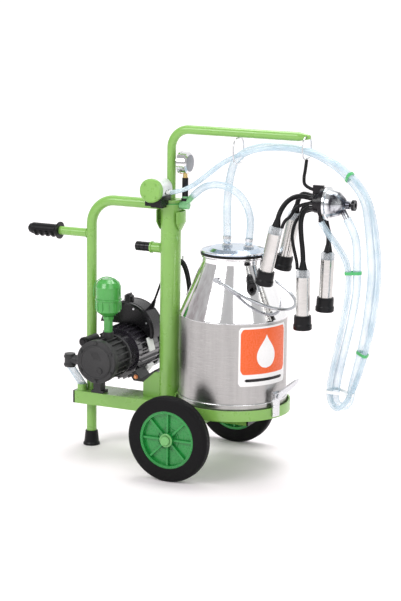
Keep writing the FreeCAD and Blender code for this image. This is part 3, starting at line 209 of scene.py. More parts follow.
def can_steel():
    """The can: a bright cone over a brushed wall, with soft upright bands of painted reflection on both; the
    cone's painted dark reflection fades towards +X.
    """
    paint = Paint("can_steel", (1, 1, 26), Metallic=1.0)
    lower = paint.ranged(paint.axis("Z"), (CAN_SEAM - 0.5) * MM, (CAN_SEAM + 0.5) * MM, 1.0, 0.0)
    lines = paint.noise(30.0, 6.0, 0.7)
    smears = paint.noise(6.0, 4.0, 0.6, paint.place)
    upright = paint.node("ShaderNodeMapping")
    upright.inputs["Scale"].default_value = (1, 1, 0.06)
    paint.link(paint.place, upright.inputs["Vector"])
    # painted reflection: soft upright bands that stand in for the room reflected in the steel
    bands = paint.ranged(paint.noise(13.0, 5.0, 0.7, upright.outputs["Vector"]), 0.38, 0.62)
    wall_rough = paint.ranged(lines, 0.3, 0.7, 0.24, 0.38)
    shoulder_rough = paint.ranged(smears, 0.3, 0.7, 0.05, 0.13)
    step = paint.node("ShaderNodeMix", data_type="FLOAT")
    paint.link(lower, step.inputs[0])
    paint.link(shoulder_rough, step.inputs[2])
    paint.link(wall_rough, step.inputs[3])
    paint.rough(step.outputs[0])
    # painted reflection: the brushed lines times the painted reflection bands darken the wall in streaks
    painted_reflection_streaks = paint.math("MULTIPLY", paint.ranged(lines, 0.3, 0.7), bands)
    wall = paint.mixed(painted_reflection_streaks, (0.44, 0.435, 0.425), (0.31, 0.305, 0.30))
    # painted reflection: the cone's dark pinkish reflection bands are strongest at low X and fade towards +X
    painted_reflection_fade = paint.ranged(paint.axis("X"), 0.40, 0.52, 1.0, 0.15)
    cone = paint.mixed(paint.math("MULTIPLY", bands, painted_reflection_fade), (0.97, 0.97, 0.98), (0.50, 0.42, 0.44))
    paint.colour(paint.mixed(lower, cone, wall))
    paint.bump(paint.math("MULTIPLY", lower, lines), 0.18, 0.0002)
    return paint.material


def claw_steel():
    """The claw's bowl: a bright rim and a dome painted dark, with streaks of painted reflection and highlight
    across it.
    """
    paint = Paint("claw_steel", Metallic=1.0)
    dome = paint.ranged(paint.axis("X"), (CLAW.x + 12) * MM, (CLAW.x + 22) * MM)
    # painted reflection: light and dark streaks over the dome stand in for what the bowl reflects
    painted_reflection_streaks = paint.ranged(paint.noise(34.0, 3.0, 0.6), 0.42, 0.60)
    painted_dark_reflection = paint.mixed(painted_reflection_streaks, (0.07, 0.07, 0.085), (0.55, 0.57, 0.60))
    paint.colour(paint.mixed(dome, (0.72, 0.74, 0.76), painted_dark_reflection))
    paint.rough(paint.ranged(painted_reflection_streaks, 0.0, 1.0, 0.06, 0.16))
    return paint.material


def hose_clear(name, tint, rim, clear, full):
    """Flexible clear tube: denser at its edges, where the light crosses more of its wall."""
    paint = Paint(name, IOR=1.45, Specular_IOR_Level=0.6, Coat_Weight=0.3, Coat_Roughness=0.08)
    facing = paint.node("ShaderNodeLayerWeight")
    facing.inputs["Blend"].default_value = 0.45
    edge = facing.outputs["Facing"]
    cloud = paint.ranged(paint.noise(18.0, 4.0), 0.35, 0.7)
    paint.colour(paint.mixed(edge, paint.mixed(cloud, tint, rim), rim))
    drift = paint.ranged(paint.noise(9.0, 3.0), 0.3, 0.7, -0.06, 0.06)
    alpha = paint.math("ADD", paint.ranged(edge, 0.12, 0.75, clear, full), drift)
    paint.link(alpha, paint.shader.inputs["Alpha"])
    paint.rough(paint.ranged(cloud, 0.0, 1.0, 0.10, 0.2))
    return paint.material


def dial_face():
    """The gauge's dial: a white card with a ring of ticks, drawn round the gauge's centre."""
    paint = Paint("dial_face", Roughness=0.45)
    across = paint.axis("Y")
    upward = paint.math("SUBTRACT", paint.axis("Z"), GAUGE_HEIGHT)
    angle = paint.math("ARCTAN2", across, upward)
    squares = paint.math("ADD", paint.math("MULTIPLY", across, across),
                         paint.math("MULTIPLY", upward, upward))
    radius = paint.math("SQRT", squares)
    wave = paint.math("SINE", paint.math("MULTIPLY", angle, 40.0))
    tick = paint.math("GREATER_THAN", wave, 0.75)
    inner = paint.math("GREATER_THAN", radius, 0.0215)
    outer = paint.math("LESS_THAN", radius, 0.0265)
    sector = paint.math("LESS_THAN", paint.math("ABSOLUTE", angle), 2.4)
    ink = paint.math("MULTIPLY", paint.math("MULTIPLY", tick, inner), paint.math("MULTIPLY", outer, sector))
    ring = paint.math("MULTIPLY", paint.math("GREATER_THAN", radius, 0.0262),
                      paint.math("LESS_THAN", radius, 0.0270))
    ink = paint.math("MAXIMUM", ink, paint.math("MULTIPLY", ring, sector))
    card = paint.mixed(paint.noise(30.0), (0.86, 0.86, 0.83), (0.80, 0.80, 0.77))
    paint.colour(paint.mixed(ink, card, (0.03, 0.03, 0.03)))
    return paint.material


LIME = (0.210, 0.430, 0.085)
FINISHES = {
    "frame_green": enamel("frame_enamel", LIME, (0.188, 0.400, 0.070)),
    "wheel_green": finish_of("wheel_plastic", (0.016, 0.300, 0.052), (0.010, 0.220, 0.038), (0.22, 0.36),
                             140.0, 0.10, dust=((0.08, 0.30, 0.09), 0.2), Coat_Weight=0.15),
    "tyre_rubber": finish_of("tyre_rubber", (0.002, 0.002, 0.003), (0.004, 0.004, 0.004), (0.42, 0.62), 260.0,
                             0.35, dust=((0.025, 0.022, 0.02), 0.2), depth=0.0006, Specular_IOR_Level=0.16),
    "black_rubber": finish_of("black_rubber", (0.003, 0.003, 0.004), (0.006, 0.006, 0.007), (0.30, 0.46),
                              180.0, 0.18, dust=((0.03, 0.03, 0.03), 0.15), Specular_IOR_Level=0.22),
    "black_plastic": finish_of("black_plastic", (0.003, 0.003, 0.004), (0.007, 0.006, 0.008), (0.18, 0.32),
                               340.0, 0.25, dust=((0.04, 0.04, 0.04), 0.12), Specular_IOR_Level=0.3),
    "pump_grey": finish_of("pump_casting", (0.024, 0.024, 0.025), (0.038, 0.038, 0.039), (0.36, 0.55), 150.0,
                           0.55, dust=((0.10, 0.10, 0.10), 0.25), depth=0.0008, Specular_IOR_Level=0.35),
    "motor_grey": finish_of("motor_casting", (0.012, 0.010, 0.015), (0.022, 0.019, 0.026), (0.16, 0.34),
                            170.0, 0.45, dust=((0.20, 0.19, 0.22), 0.18), depth=0.0007, Coat_Weight=0.9,
                            Coat_Roughness=0.06),
    "fan_grey": finish_of("fan_paint", (0.30, 0.31, 0.33), (0.24, 0.25, 0.27), (0.32, 0.48), 200.0, 0.2,
                          dust=((0.12, 0.12, 0.12), 0.3), Metallic=0.4),
    "filter_green": finish_of("filter_plastic", (0.062, 0.360, 0.062), (0.050, 0.310, 0.050), (0.16, 0.28),
                              90.0, 0.08, Coat_Weight=0.3, Coat_Roughness=0.1),
    "polished_steel": brushed("polished_steel", (0.82, 0.82, 0.83), (0.68, 0.68, 0.70), (0.08, 0.18),
                              (1, 1, 8), 25.0, 0.05),
    "brushed_steel": brushed("brushed_steel", (0.64, 0.63, 0.61), (0.42, 0.41, 0.395), (0.16, 0.30),
                             (1, 1, 14), 45.0, 0.25),
    "zinc": finish_of("zinc_plate", (0.72, 0.73, 0.74), (0.60, 0.61, 0.63), (0.2, 0.34), 220.0, 0.12,
                      Metallic=1.0),
    "white_plastic": finish_of("white_plastic", (0.84, 0.86, 0.85), (0.78, 0.81, 0.80), (0.24, 0.36), 160.0,
                               0.08, Coat_Weight=0.2),
    "clear_hose": hose_clear("clear_hose", (0.80, 0.91, 0.96), (0.44, 0.60, 0.70), 0.36, 0.90),
    "clear_cap": hose_clear("clear_cap", (0.80, 0.83, 0.85), (0.55, 0.60, 0.64), 0.30, 0.85),
    "copper_iron": finish_of("stator_iron", (0.20, 0.15, 0.12), (0.30, 0.16, 0.09), (0.3, 0.5), 120.0, 0.4,
                             stretch=(1, 30, 1), Metallic=0.8),
}
CHROME = FINISHES["polished_steel"]
LIGHT_LIME = finish_of("hub_plastic", (0.17, 0.45, 0.14), (0.14, 0.40, 0.12), (0.25, 0.36), 150.0, 0.08,
                       Coat_Weight=0.2)
TIE_GREEN = finish_of("tie_plastic", (0.075, 0.46, 0.15), (0.06, 0.40, 0.12), (0.25, 0.4), 200.0, 0.1)
BRASS = brushed("brass", (0.72, 0.52, 0.22), (0.60, 0.42, 0.17), (0.2, 0.34), (1, 1, 6), 60.0, 0.1)
COPPER = brushed("copper_nut", (0.70, 0.33, 0.16), (0.58, 0.26, 0.12), (0.24, 0.4), (1, 1, 6), 60.0, 0.1)
LABEL_ORANGE = finish_of("label_orange", (0.80, 0.115, 0.012), (0.76, 0.10, 0.010), (0.22, 0.34), 300.0, 0.04)
LABEL_WHITE = finish_of("label_white", (0.86, 0.86, 0.85), (0.80, 0.80, 0.79), (0.24, 0.36), 300.0, 0.04)
GLASS = hose_clear("gauge_glass", (0.85, 0.88, 0.90), (0.75, 0.80, 0.82), 0.06, 0.4)
DIAL = dial_face()
OWN_FINISHES = {
    "can_body": can_steel(),
    "can_bail": brushed("bail_steel", (0.46, 0.48, 0.50), (0.24, 0.25, 0.27), (0.14, 0.26), (1, 1, 1),
                        60.0, 0.05),
    # painted reflection: the lid's steel is tinted blue to stand in for a bluish reflection
    "can_lid": brushed("lid_steel_painted_blue_reflection", (0.62, 0.72, 0.84), (0.36, 0.43, 0.53), (0.10, 0.22), (1, 6, 1),
                       16.0, 0.08),
    "claw_bowl": claw_steel(),
    "vacuum_tee": finish_of("tee_plastic", (0.20, 0.50, 0.22), (0.16, 0.44, 0.18), (0.2, 0.3), 120.0, 0.08,
                            Coat_Weight=0.3),
}

slot_of = {part["node"]: part["material_slot"] for part in frame["record"]["subparts"]}
for name, node in nodes.items():
    node.data.materials.clear()
    node.data.materials.append(OWN_FINISHES.get(name, FINISHES[slot_of[name]]))


def repaint(name, material, where):
    """Give the faces of a CAD node that where(centre) picks another material."""
    mesh = nodes[name].data
    mesh.materials.append(material)
    index = len(mesh.materials) - 1
    for face in mesh.polygons:
        if where(face.center):
            face.material_index = index


# The gauge is steel above, brass on its stem and black at its foot, with a dial inside its case.
STEM_TOP = GAUGE_HEIGHT - 31.5 * MM
STEM_FOOT = GAUGE_HEIGHT - 46 * MM
DIAL_X = GAUGE_END - 21.5 * MM
repaint("gauge_case", BRASS, lambda c: STEM_FOOT < c.z < STEM_TOP)
repaint("gauge_case", FINISHES["black_plastic"], lambda c: c.z <= STEM_FOOT)
repaint("gauge_case", DIAL, lambda c: abs(c.x - DIAL_X) < 0.3 * MM
        and math.hypot(c.y, c.z - GAUGE_HEIGHT) < 31 * MM)
repaint("axle", CHROME, lambda c: abs(c.y) > 222.1 * MM)


# ---- mesh helpers --------------------------------------------------------------------------

def piece(name, bm, slot, body="trolley", material=None):
    """A smooth mesh with sharp edges that rides on a body, in its slot's finish or another one."""
    mesh = bpy.data.meshes.new(name)
    bmesh.ops.recalc_face_normals(bm, faces=bm.faces)
    bm.to_mesh(mesh)
    bm.free()
    mesh.shade_smooth()
    mesh.set_sharp_from_angle(angle=math.radians(38))
    thing = bpy.data.objects.new(name, mesh)
    scene.collection.objects.link(thing)
    mesh.materials.append(material or FINISHES[slot])
    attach(thing, body)
    return thing


def basis(at, axis, spin=0.0):
    """Frame at a point whose Z runs along axis."""
    turn = Vector(axis).normalized().to_track_quat("Z", "Y").to_matrix().to_4x4()
    return Matrix.Translation(at) @ turn @ Matrix.Rotation(spin, 4, "Z")


def lathe_into(bm, profile, matrix, steps=40):
    """Add a surface of revolution: (radius, height) corners in millimetres, round the frame's Z."""
    rings = []
    for radius, height in profile:
        if radius < 1e-6:
            rings.append([bm.verts.new(matrix @ mm(0, 0, height))])
        else:
            rings.append([bm.verts.new(matrix @ mm(radius * math.cos(TAU * i / steps),
                                                   radius * math.sin(TAU * i / steps), height))
                          for i in range(steps)])
    for low, high in zip(rings, rings[1:]):
        for i in range(steps):
            j = (i + 1) % steps
            corners = [low[i % len(low)], low[j % len(low)], high[j % len(high)], high[i % len(high)]]
            unique = list(dict.fromkeys(corners))
            if len(unique) > 2:
                bm.faces.new(unique)
    return bm


def lathe(name, profile, at, axis, slot, steps=40, material=None):
    return piece(name, lathe_into(bmesh.new(), profile, basis(at, axis), steps), slot, material=material)


def slab_into(bm, outline, thick, matrix):
    """Add a plate: a closed outline of (x, y) millimetres, raised thick along the frame's Z."""
    low = [bm.verts.new(matrix @ mm(x, y, 0)) for x, y in outline]
    high = [bm.verts.new(matrix @ mm(x, y, thick)) for x, y in outline]
    count = len(outline)
    bm.faces.new(low[::-1])
    bm.faces.new(high)
    for i in range(count):
        j = (i + 1) % count
        bm.faces.new([low[i], low[j], high[j], high[i]])
    return bm


def rounded_outline(width, height, corner, steps=5):
    """Corners of a rectangle with rounded corners, centred."""
    points = []
    for quarter, (sx, sy) in enumerate(((1, 1), (-1, 1), (-1, -1), (1, -1))):
        cx = sx * (width / 2 - corner)
        cy = sy * (height / 2 - corner)
        for i in range(steps + 1):
            angle = (quarter + i / steps) * math.pi / 2
            points.append((cx + corner * math.cos(angle), cy + corner * math.sin(angle)))
    return points


def bolt_into(bm, at, axis, across, head, spin=0.0):
    """A hexagon head on a washer."""
    matrix = basis(at, axis, spin)
    lathe_into(bm, [(0, 0), (across * 0.72, 0), (across * 0.72, 0.9), (0, 0.9)], matrix, 24)
    lathe_into(bm, [(0, 0.9), (across * 0.56, 0.9), (across * 0.58, head), (across * 0.48, head + 0.7),
                    (0, head + 0.7)], matrix, 6)
    return bm


def weld_into(bm, centre, axis, radius):
    """A welded seam: a ring of overlapping ripples round a tube."""
    matrix = basis(centre, axis)
    bead = 1.9
    around = max(48, int(radius * 5))
    ripples = int(radius * 2.2)
    sides = 8
    rings = []
    for i in range(around):
        angle = TAU * i / around
        swell = bead * (1 + 0.16 * abs(math.sin(ripples * angle / 2)) + 0.08 * math.sin(3 * angle))
        ring = []
        for j in range(sides):
            side = TAU * j / sides
            reach = radius + swell * math.cos(side)
            ring.append(bm.verts.new(matrix @ mm(reach * math.cos(angle), reach * math.sin(angle),
                                                 swell * math.sin(side))))
        rings.append(ring)
    for i in range(around):
        here, following = rings[i], rings[(i + 1) % around]
        for j in range(sides):
            k = (j + 1) % sides
            bm.faces.new([here[j], here[k], following[k], following[j]])
    return bm


def curve_data(name, points, radius, material, cyclic):
    """A NURBS tube whose control points are the given points, all in metres."""
    data = bpy.data.curves.new(name, "CURVE")
    data.dimensions = "3D"
    spline = data.splines.new("NURBS")
    spline.points.add(len(points) - 1)
    for point, at in zip(spline.points, points):
        point.co = (*at, 1.0)
    spline.order_u = 3
    spline.use_endpoint_u = not cyclic
    spline.use_cyclic_u = cyclic
    spline.resolution_u = 10
    data.bevel_depth = radius
    data.bevel_resolution = 5
    data.use_fill_caps = not cyclic
    data.materials.append(material)
    return data


def wire(name, points, radius, slot, cyclic=False):
    """A round wire or tube on the trolley, with its radius in millimetres."""
    thing = bpy.data.objects.new(name, curve_data(name, points, radius * MM, FINISHES[slot], cyclic))
    scene.collection.objects.link(thing)
    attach(thing, "trolley")
    return thing


def circle(x, y, z, radius, count, upright=False):
    """Points round a centre in millimetres: level, or upright and facing along Y."""
    points = []
    for i in range(count):
        along = radius * math.cos(TAU * i / count)
        aside = radius * math.sin(TAU * i / count)
        points.append(mm(x + along, y, z + aside) if upright else mm(x + along, y + aside, z))
    return points


def line_of(thing):
    """Points along a curve's own line, read from its NURBS spline."""
    bare = thing.data.copy()
    bare.bevel_depth = 0.0
    probe = bpy.data.objects.new("probe", bare)
    scene.collection.objects.link(probe)
    bpy.context.view_layer.update()
    mesh = bpy.data.meshes.new_from_object(probe.evaluated_get(bpy.context.evaluated_depsgraph_get()))
    points = [v.co.copy() for v in mesh.vertices]
    bpy.data.objects.remove(probe)
    return points


def nearest(points, target):
    """The point of a line nearest a target, and the line's direction there."""
    index = min(range(len(points)), key=lambda i: (points[i] - target).length)
    before = points[max(0, index - 1)]
    after = points[min(len(points) - 1, index + 1)]
    return points[index], (after - before).normalized()


# ---- camera --------------------------------------------------------------------------------

CAMERA_AT = Vector((2.6715, -4.9090, 1.6063))
CAMERA_YAW = math.radians(25.04)
CAMERA_PITCH = math.radians(11.49)
CAMERA_ROLL = math.radians(0.75)
CAMERA_LENS = 108.18

camera_data = bpy.data.cameras.new("camera")
camera_data.lens = CAMERA_LENS
camera_data.sensor_width = 36.0
camera_data.clip_start = 0.1
camera_data.clip_end = 60.0
camera = bpy.data.objects.new("camera", camera_data)
scene.collection.objects.link(camera)
scene.camera = camera
back = Vector((math.sin(CAMERA_YAW) * math.cos(CAMERA_PITCH), -math.cos(CAMERA_YAW) * math.cos(CAMERA_PITCH),
               math.sin(CAMERA_PITCH)))
level = Vector((math.cos(CAMERA_YAW), math.sin(CAMERA_YAW), 0))
upward = back.cross(level)
right = level * math.cos(CAMERA_ROLL) + upward * math.sin(CAMERA_ROLL)
above = back.cross(right)
camera.matrix_world = Matrix(((right.x, above.x, back.x, CAMERA_AT.x),
                              (right.y, above.y, back.y, CAMERA_AT.y),
                              (right.z, above.z, back.z, CAMERA_AT.z), (0, 0, 0, 1)))


# ---- hoses and lead ------------------------------------------------------------------------

def cord(name, route, radius, slot, length, replaced):
    """A free tube or lead on the trolley: route and radius in millimetres; length is not used."""
    points = [mm(*point) for point in route]
    thing = wire(name, points, radius, slot)
    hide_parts(*replaced)
    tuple(points[0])
    return thing


MILK_ROUTE = [
    (465, 0, 694), (464, 2, 730), (459, 6, 800), (464, 10, 885), (482, 13, 950), (540, 14, 982),
    (622, 14, 992), (712, 14, 986), (786, 12, 957), (846, 9, 916), (900, 5, 856), (914, 2, 780),
    (924, 0, 700), (930, 0, 632), (925, 0, 560), (917, 0, 480), (902, 0, 390), (880, 0, 300),
    (871, 0, 229), (825, 0, 229), (829, 0, 292), (838, 0, 338), (849, 0, 392),
    (864, 0, 460), (878, 0, 535), (885, 0, 590), (883, 0, 650), (882, 0, 700), (874, 0, 750),
    (847, 0, 794.5),
]
PULSE_ROUTE = [
    (300, -55, 839), (330, -54, 845), (366, -47, 862), (408, -38, 896), (452, -30, 934),
    (500, -25, 960), (560, -22, 980), (632, -21, 994), (716, -20, 990), (792, -19, 968),
    (860, -17, 926), (912, -13, 866), (934, -9, 786), (946, -8, 704), (951, -8, 632),
    (946, -10, 560), (938, -14, 480), (921, -20, 394), (902, -28, 318), (877, -36, 256),
    (848, -37, 222), (821, -36, 244), (816, -34, 290), (824, -32, 338), (831, -28, 384),
    (843, -21, 455), (856, -18, 530), (862, -18, 590), (861, -18, 640), (852, -21, 676),
    (826, -26, 716), (796, -30, 752), (775.7, -32, 783),
]
AIR_ROUTE = [
    (348.9, 0, 825.9), (370, -6, 845), (404, -18, 864), (448, -26, 871), (492, -28, 862),
    (528, -22, 830), (544, -8, 780), (540, -1, 730), (536, 0, 694),
]
LEAD_ROUTE = [
    (136, 150, 431), (143, 148, 446), (158, 138, 474), (180, 119, 512), (201, 97, 545),
    (220, 80, 570), (236, 68, 586),
]
PULSE_GAP = 15
LOOP_LENGTH = 1.96
FAR_PULSE_ROUTE = [(x, y + PULSE_GAP, z) for x, y, z in PULSE_ROUTE]
milk = cord("milk_hose", MILK_ROUTE, 12, "clear_hose", LOOP_LENGTH, ["milk_tube"])
pulse_near = cord("pulse_hose_near", PULSE_ROUTE, 6.5, "clear_hose", LOOP_LENGTH, ["pulse_tube_near"])
pulse_far = cord("pulse_hose_far", FAR_PULSE_ROUTE, 6.5, "clear_hose", LOOP_LENGTH, ["pulse_tube_far"])
air = cord("can_hose", AIR_ROUTE, 11, "clear_hose", 0.345, ["vacuum_hose"])


def coil_route():
    """The lead's spare length: upright turns hung on the hook, then down to the plug."""
    centre = Vector((COLUMN_X, 66, 465))
    half_width = 38
    straight = 109
    turns = 4
    around = 14  # points of each turn
    bundle_radius = 4.4
    bundle_depth = 5.2
    points = []
    for step in range(1, turns * around + 2):
        turn = step / around
        angle = math.pi - TAU * turn
        strand = TAU * (int(turn) % turns) / turns + 0.6
        spread = 1 + 0.012 * math.sin(step * 1.7)
        x = half_width * math.cos(angle) * spread
        z = (half_width + straight) * math.sin(angle) * spread
        points.append((centre.x + x + bundle_radius * math.cos(strand) * math.cos(angle),
                       centre.y + bundle_depth * math.sin(strand),
                       centre.z + z + bundle_radius * math.cos(strand) * math.sin(angle)))
    return points


LEAD_LENGTH = 2.7
cord("mains_flex", LEAD_ROUTE + coil_route(), 3.5, "black_rubber", LEAD_LENGTH, ["mains_lead", "lead_coil"])

# Each teat cup: the centre of its mouth, and its lean in degrees.
CUPS = [((625, -92, 594), 12), ((627, 45, 619), 12.5), ((732, -40, 459), -1), ((777, 20, 508), 2)]
CUP_SIDE = 180
CUP_TOP = 205
CLAW_BACK = CLAW + Vector((-48, 0, 0))


def cup_point(index, height, aside=0.0, across=0.0):
    """A point on a teat cup: height along its axis, aside towards the claw, across along Y."""
    mouth, lean = CUPS[index]
    angle = math.radians(lean)
    up = Vector((math.sin(angle), 0, math.cos(angle)))
    return Vector(mouth) + up * height + Vector((up.z, 0, -up.x)) * aside + Vector((0, across, 0))


def from_back(x, y, z):
    return CLAW_BACK + Vector((x, y, z))


def from_claw(x, y, z):
    return CLAW + Vector((x, y, z))


AROUND = 14.85  # how far the slanting ports stand off the claw's axis along Y and Z
# Each rubber tube: name, radius in millimetres, length in metres, route in millimetres.
RUBBER_TUBES = [
    ("hanger_tube", 5, 0.107, [(716, 0, 959.8), (713, 0, 929.8), (708, 0, 903.8), (712, 0, 879.8),
                               (740, 0, 873)]),
    ("cup_milk_1", 7.5, 0.138, [from_back(0, -AROUND, AROUND), from_back(-24, -18, 20),
                                from_back(-44, -38, 17), from_back(-58, -64, 2),
                                cup_point(0, CUP_TOP + 16), cup_point(0, CUP_TOP)]),
    ("cup_milk_2", 7.5, 0.095, [from_back(0, AROUND, AROUND), from_back(-24, 20, 20), from_back(-44, 30, 18),
                                cup_point(1, CUP_TOP + 18), cup_point(1, CUP_TOP)]),
    ("cup_milk_3", 7.5, 0.175, [from_back(0, -AROUND, -AROUND), from_back(-16, -17, -20),
                                from_back(-24, -26, -50), from_back(-18, -36, -92),
                                cup_point(2, CUP_TOP + 22), cup_point(2, CUP_TOP)]),
    ("cup_milk_4", 7.5, 0.071, [from_claw(-8.3, 17, -55), from_claw(-5, 18, -72), from_claw(0, 20, -90),
                                cup_point(3, CUP_TOP + 12), cup_point(3, CUP_TOP)]),
    ("cup_pulse_1", 5, 0.120, [from_back(0, -23, 0), from_back(-20, -32, -4), from_back(-34, -50, -16),
                               from_back(-38, -70, -36), cup_point(0, CUP_SIDE + 20, 18.5),
                               cup_point(0, CUP_SIDE, 18.5)]),
    ("cup_pulse_2", 5, 0.081, [from_back(0, 23, 0), from_back(-20, 30, -6), from_back(-32, 38, -22),
                               cup_point(1, CUP_SIDE + 22, 18.5), cup_point(1, CUP_SIDE, 18.5)]),
    ("cup_pulse_3", 5, 0.210, [from_back(0, 0, -23), from_back(-22, -4, -28), from_back(-44, -16, -56),
                               from_back(-52, -28, -98), cup_point(2, CUP_SIDE + 46, -26),
                               cup_point(2, CUP_SIDE + 18, -18.5), cup_point(2, CUP_SIDE, -18.5)]),
    ("cup_pulse_4", 5, 0.097, [from_claw(-7, 1, -57), from_claw(-8, 1, -76),
                               cup_point(3, CUP_SIDE + 44, 8, -20), cup_point(3, CUP_SIDE + 20, 4, -18),
                               cup_point(3, CUP_SIDE, 4, -18)]),
]
SHORTEST_CORD = 6  # diameters
for name, radius, length, route in RUBBER_TUBES:
    if length > SHORTEST_CORD * 2 * radius * MM:
        cord(name, route, radius, "black_rubber", length, ["claw_rubber_tubes"])
    else:
        stub = wire(name, [mm(*point) for point in route], radius, "black_rubber")
        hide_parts("claw_rubber_tubes")


# ---- details -------------------------------------------------------------------------------

def welds():
    """Weld beads where the frame's tubes meet, each with its centre, axis and tube radius."""
    bm = bmesh.new()
    for centre, axis, radius in (
            ((0, 0, 184.5), UP, 16), ((COLUMN_X, 0, 184.5), UP, COLUMN_WALL), ((0, 0, 141.5), UP, 16),
            ((COLUMN_X, 0, 811.5), UP, 13.5), ((-16.5, 0, 683), FORWARD, 13.5),
            ((COLUMN_X - COLUMN_WALL, 0, 657), FORWARD, 15.5),
            ((COLUMN_X - COLUMN_WALL, 0, 792), FORWARD, 16), ((-17, -32, 184), UP, 15)):
        weld_into(bm, mm(*centre), axis, radius)
    piece("weld_beads", bm, "frame_green")


def on_can(azimuth, height, out=0.0):
    """A point on the can's wall, azimuth in degrees."""
    angle = math.radians(azimuth)
    reach = CAN_WALL + out
    return mm(CAN_X + reach * math.cos(angle), reach * math.sin(angle), height)


def patch(bm, width, height_span, corner, height, out):
    """A rounded sheet of the label, built of narrow upright strips so that it follows the can's wall."""
    steps = 28
    rows = []
    for i in range(steps + 1):
        x = (i / steps - 0.5) * width
        edge = max(0.0, corner - (width / 2 - abs(x)))
        drop = corner - math.sqrt(max(0.0, corner ** 2 - edge ** 2))
        half = height_span / 2 - drop
        turn = LABEL_AT + math.degrees(x / CAN_WALL)
        rows.append([bm.verts.new(on_can(turn, height + side * half, lift))
                     for lift in (out - 0.4, out) for side in (-1, 1)])
    for here, following in zip(rows, rows[1:]):
        bm.faces.new([here[2], following[2], following[3], here[3]])
        bm.faces.new([here[1], following[1], following[0], here[0]])
        bm.faces.new([here[3], following[3], following[1], here[1]])
        bm.faces.new([here[0], following[0], following[2], here[2]])
    for end in (rows[0], rows[-1]):
        bm.faces.new([end[0], end[2], end[3], end[1]])


def can_label():
    """Generic dairy label: a white sheet, an orange field, a plain white drop and a dark strip."""
    sheet = bmesh.new()
    patch(sheet, 180, 180, 9, 377, 0.5)
    piece("label_sheet", sheet, "white_plastic", material=LABEL_WHITE)
    field = bmesh.new()
    patch(field, 168, 138, 13, 392, 0.8)
    piece("label_field", field, "white_plastic", material=LABEL_ORANGE)
    drop = bmesh.new()
    steps = 32
    belly = 0.36  # where the drop is widest, as a share of its height
    half_width, foot, tall = 33, 340, 102
    rows = []
    for i in range(steps + 1):
        y = i / steps
        if y < belly:
            half = half_width * math.sqrt(max(0.0, 1 - (1 - y / belly) ** 2))
        else:
            half = half_width * math.cos((y - belly) / (1 - belly) * math.pi / 2) ** 1.4
        height = foot + tall * y
        rows.append([drop.verts.new(on_can(LABEL_AT + math.degrees(side * (half + 0.3) / CAN_WALL), height,
                                           1.1))
                     for side in (-1, -0.5, 0, 0.5, 1)])
    for here, following in zip(rows, rows[1:]):
        for k in range(4):
            drop.faces.new([here[k], here[k + 1], following[k + 1], following[k]])
    piece("label_drop", drop, "white_plastic", material=LABEL_WHITE)
    strip = bmesh.new()
    patch(strip, 140, 9, 3, 305, 0.8)
    piece("label_strip", strip, "black_plastic")


def can_details():
    """Beads round the can and its lid, nuts and bands on the nipples, rivets of the bail."""
    for name, radius, height, bead in (("base_bead", 167, 229.5, 2.2), ("seam_bead", 163.9, CAN_SEAM, 1.6),
                                       ("mouth_bead", CAN_NECK, 655, 2.0),
                                       ("lid_rim", CAN_NECK, 671.5, 2.0)):
        wire(name, circle(CAN_X, 0, height, radius, 48), bead, "polished_steel", cyclic=True)
    nuts = bmesh.new()
    bands = bmesh.new()
    for hose, x, inner in ((milk, 465, 12.1), (air, 536, 11.1)):
        matrix = basis(mm(x, 0, 681.5), UP, 0.3)
        lathe_into(nuts, [(9.2, 0), (15.5, 0), (16, 1), (16, 6), (15, 7), (9.2, 7)], matrix, 6)
        lathe_into(nuts, [(9.2, 7), (12.5, 7), (12.5, 9.5), (9.2, 9.5)], matrix, 32)
        at, along = nearest(line_of(hose), mm(x, 0, 705))
        outer = inner + 1.4
        lathe_into(bands, [(inner, -4), (outer, -4), (outer, 4), (inner, 4)], basis(at, along), 32)
    piece("nipple_nuts", nuts, "zinc")
    piece("nipple_bands", bands, "zinc")
    rivets = bmesh.new()
    for side in (-1, 1):
        lathe_into(rivets, [(0, 0), (7.5, 0), (7.2, 1.5), (4, 3.5), (0, 4)],
                   basis(mm(CAN_X, 128.2 * side, 600), (0, side, 0)), 24)
    piece("bail_rivets", rivets, "polished_steel")


def pump_details():
    """Bolts, rings, boss and plain bars on the pump's cover, its filler cap, the elbow's ribs."""
    face = -125
    bolts = bmesh.new()
    for i in range(6):
        angle = TAU * (i + 0.5) / 6
        bolt_into(bolts, mm(SHAFT_X + 60 * math.cos(angle), face + 0.4, SHAFT_Z + 60 * math.sin(angle)),
                  NEAR_SIDE, 8.5, 4, angle)
    piece("cover_bolts", bolts, "pump_grey")
    for name, radius, depth, thick in (("cover_ring", 50, -2.6, 1.8), ("cover_lip", 66.5, 15.8, 1.6)):
        points = circle(SHAFT_X, face + depth, SHAFT_Z, radius, 40, upright=True)
        wire(name, points, thick, "pump_grey", cyclic=True)
    boss = bmesh.new()
    lathe_into(boss, [(0, 0), (11, 0), (10, 3), (7, 4), (7, 3), (0, 3)],
               basis(mm(SHAFT_X + 14, face - 2.9, SHAFT_Z - 26), NEAR_SIDE), 32)
    for i in range(7):
        left, right = -14 + 2 * i, 14 + 2 * i
        slab_into(boss, [(left, -1.2), (right, -1.2), (right, 0.2), (left, 0.2)], 1.2,
                  basis(mm(SHAFT_X - 6, face - 2.6, SHAFT_Z + 32 - 4 * i), NEAR_SIDE))
    piece("cover_boss", boss, "pump_grey")
    lathe("filler_cap", [(0, 0), (14.5, 0), (15.5, 2), (15.5, 11), (14, 13), (8, 14), (8, 17), (0, 17)],
          mm(SHAFT_X - 51, -100, SHAFT_Z + 56), NEAR_SIDE, "black_plastic", 12)
    elbow = bmesh.new()
    for height in (4, 30):
        lathe_into(elbow, [(17.1, 0), (19.5, 0), (19.5, 6), (17.1, 6)],
                   basis(mm(-34, -80, SHAFT_Z - 35 + height), UP), 28)
    piece("elbow_ribs", elbow, "pump_grey")


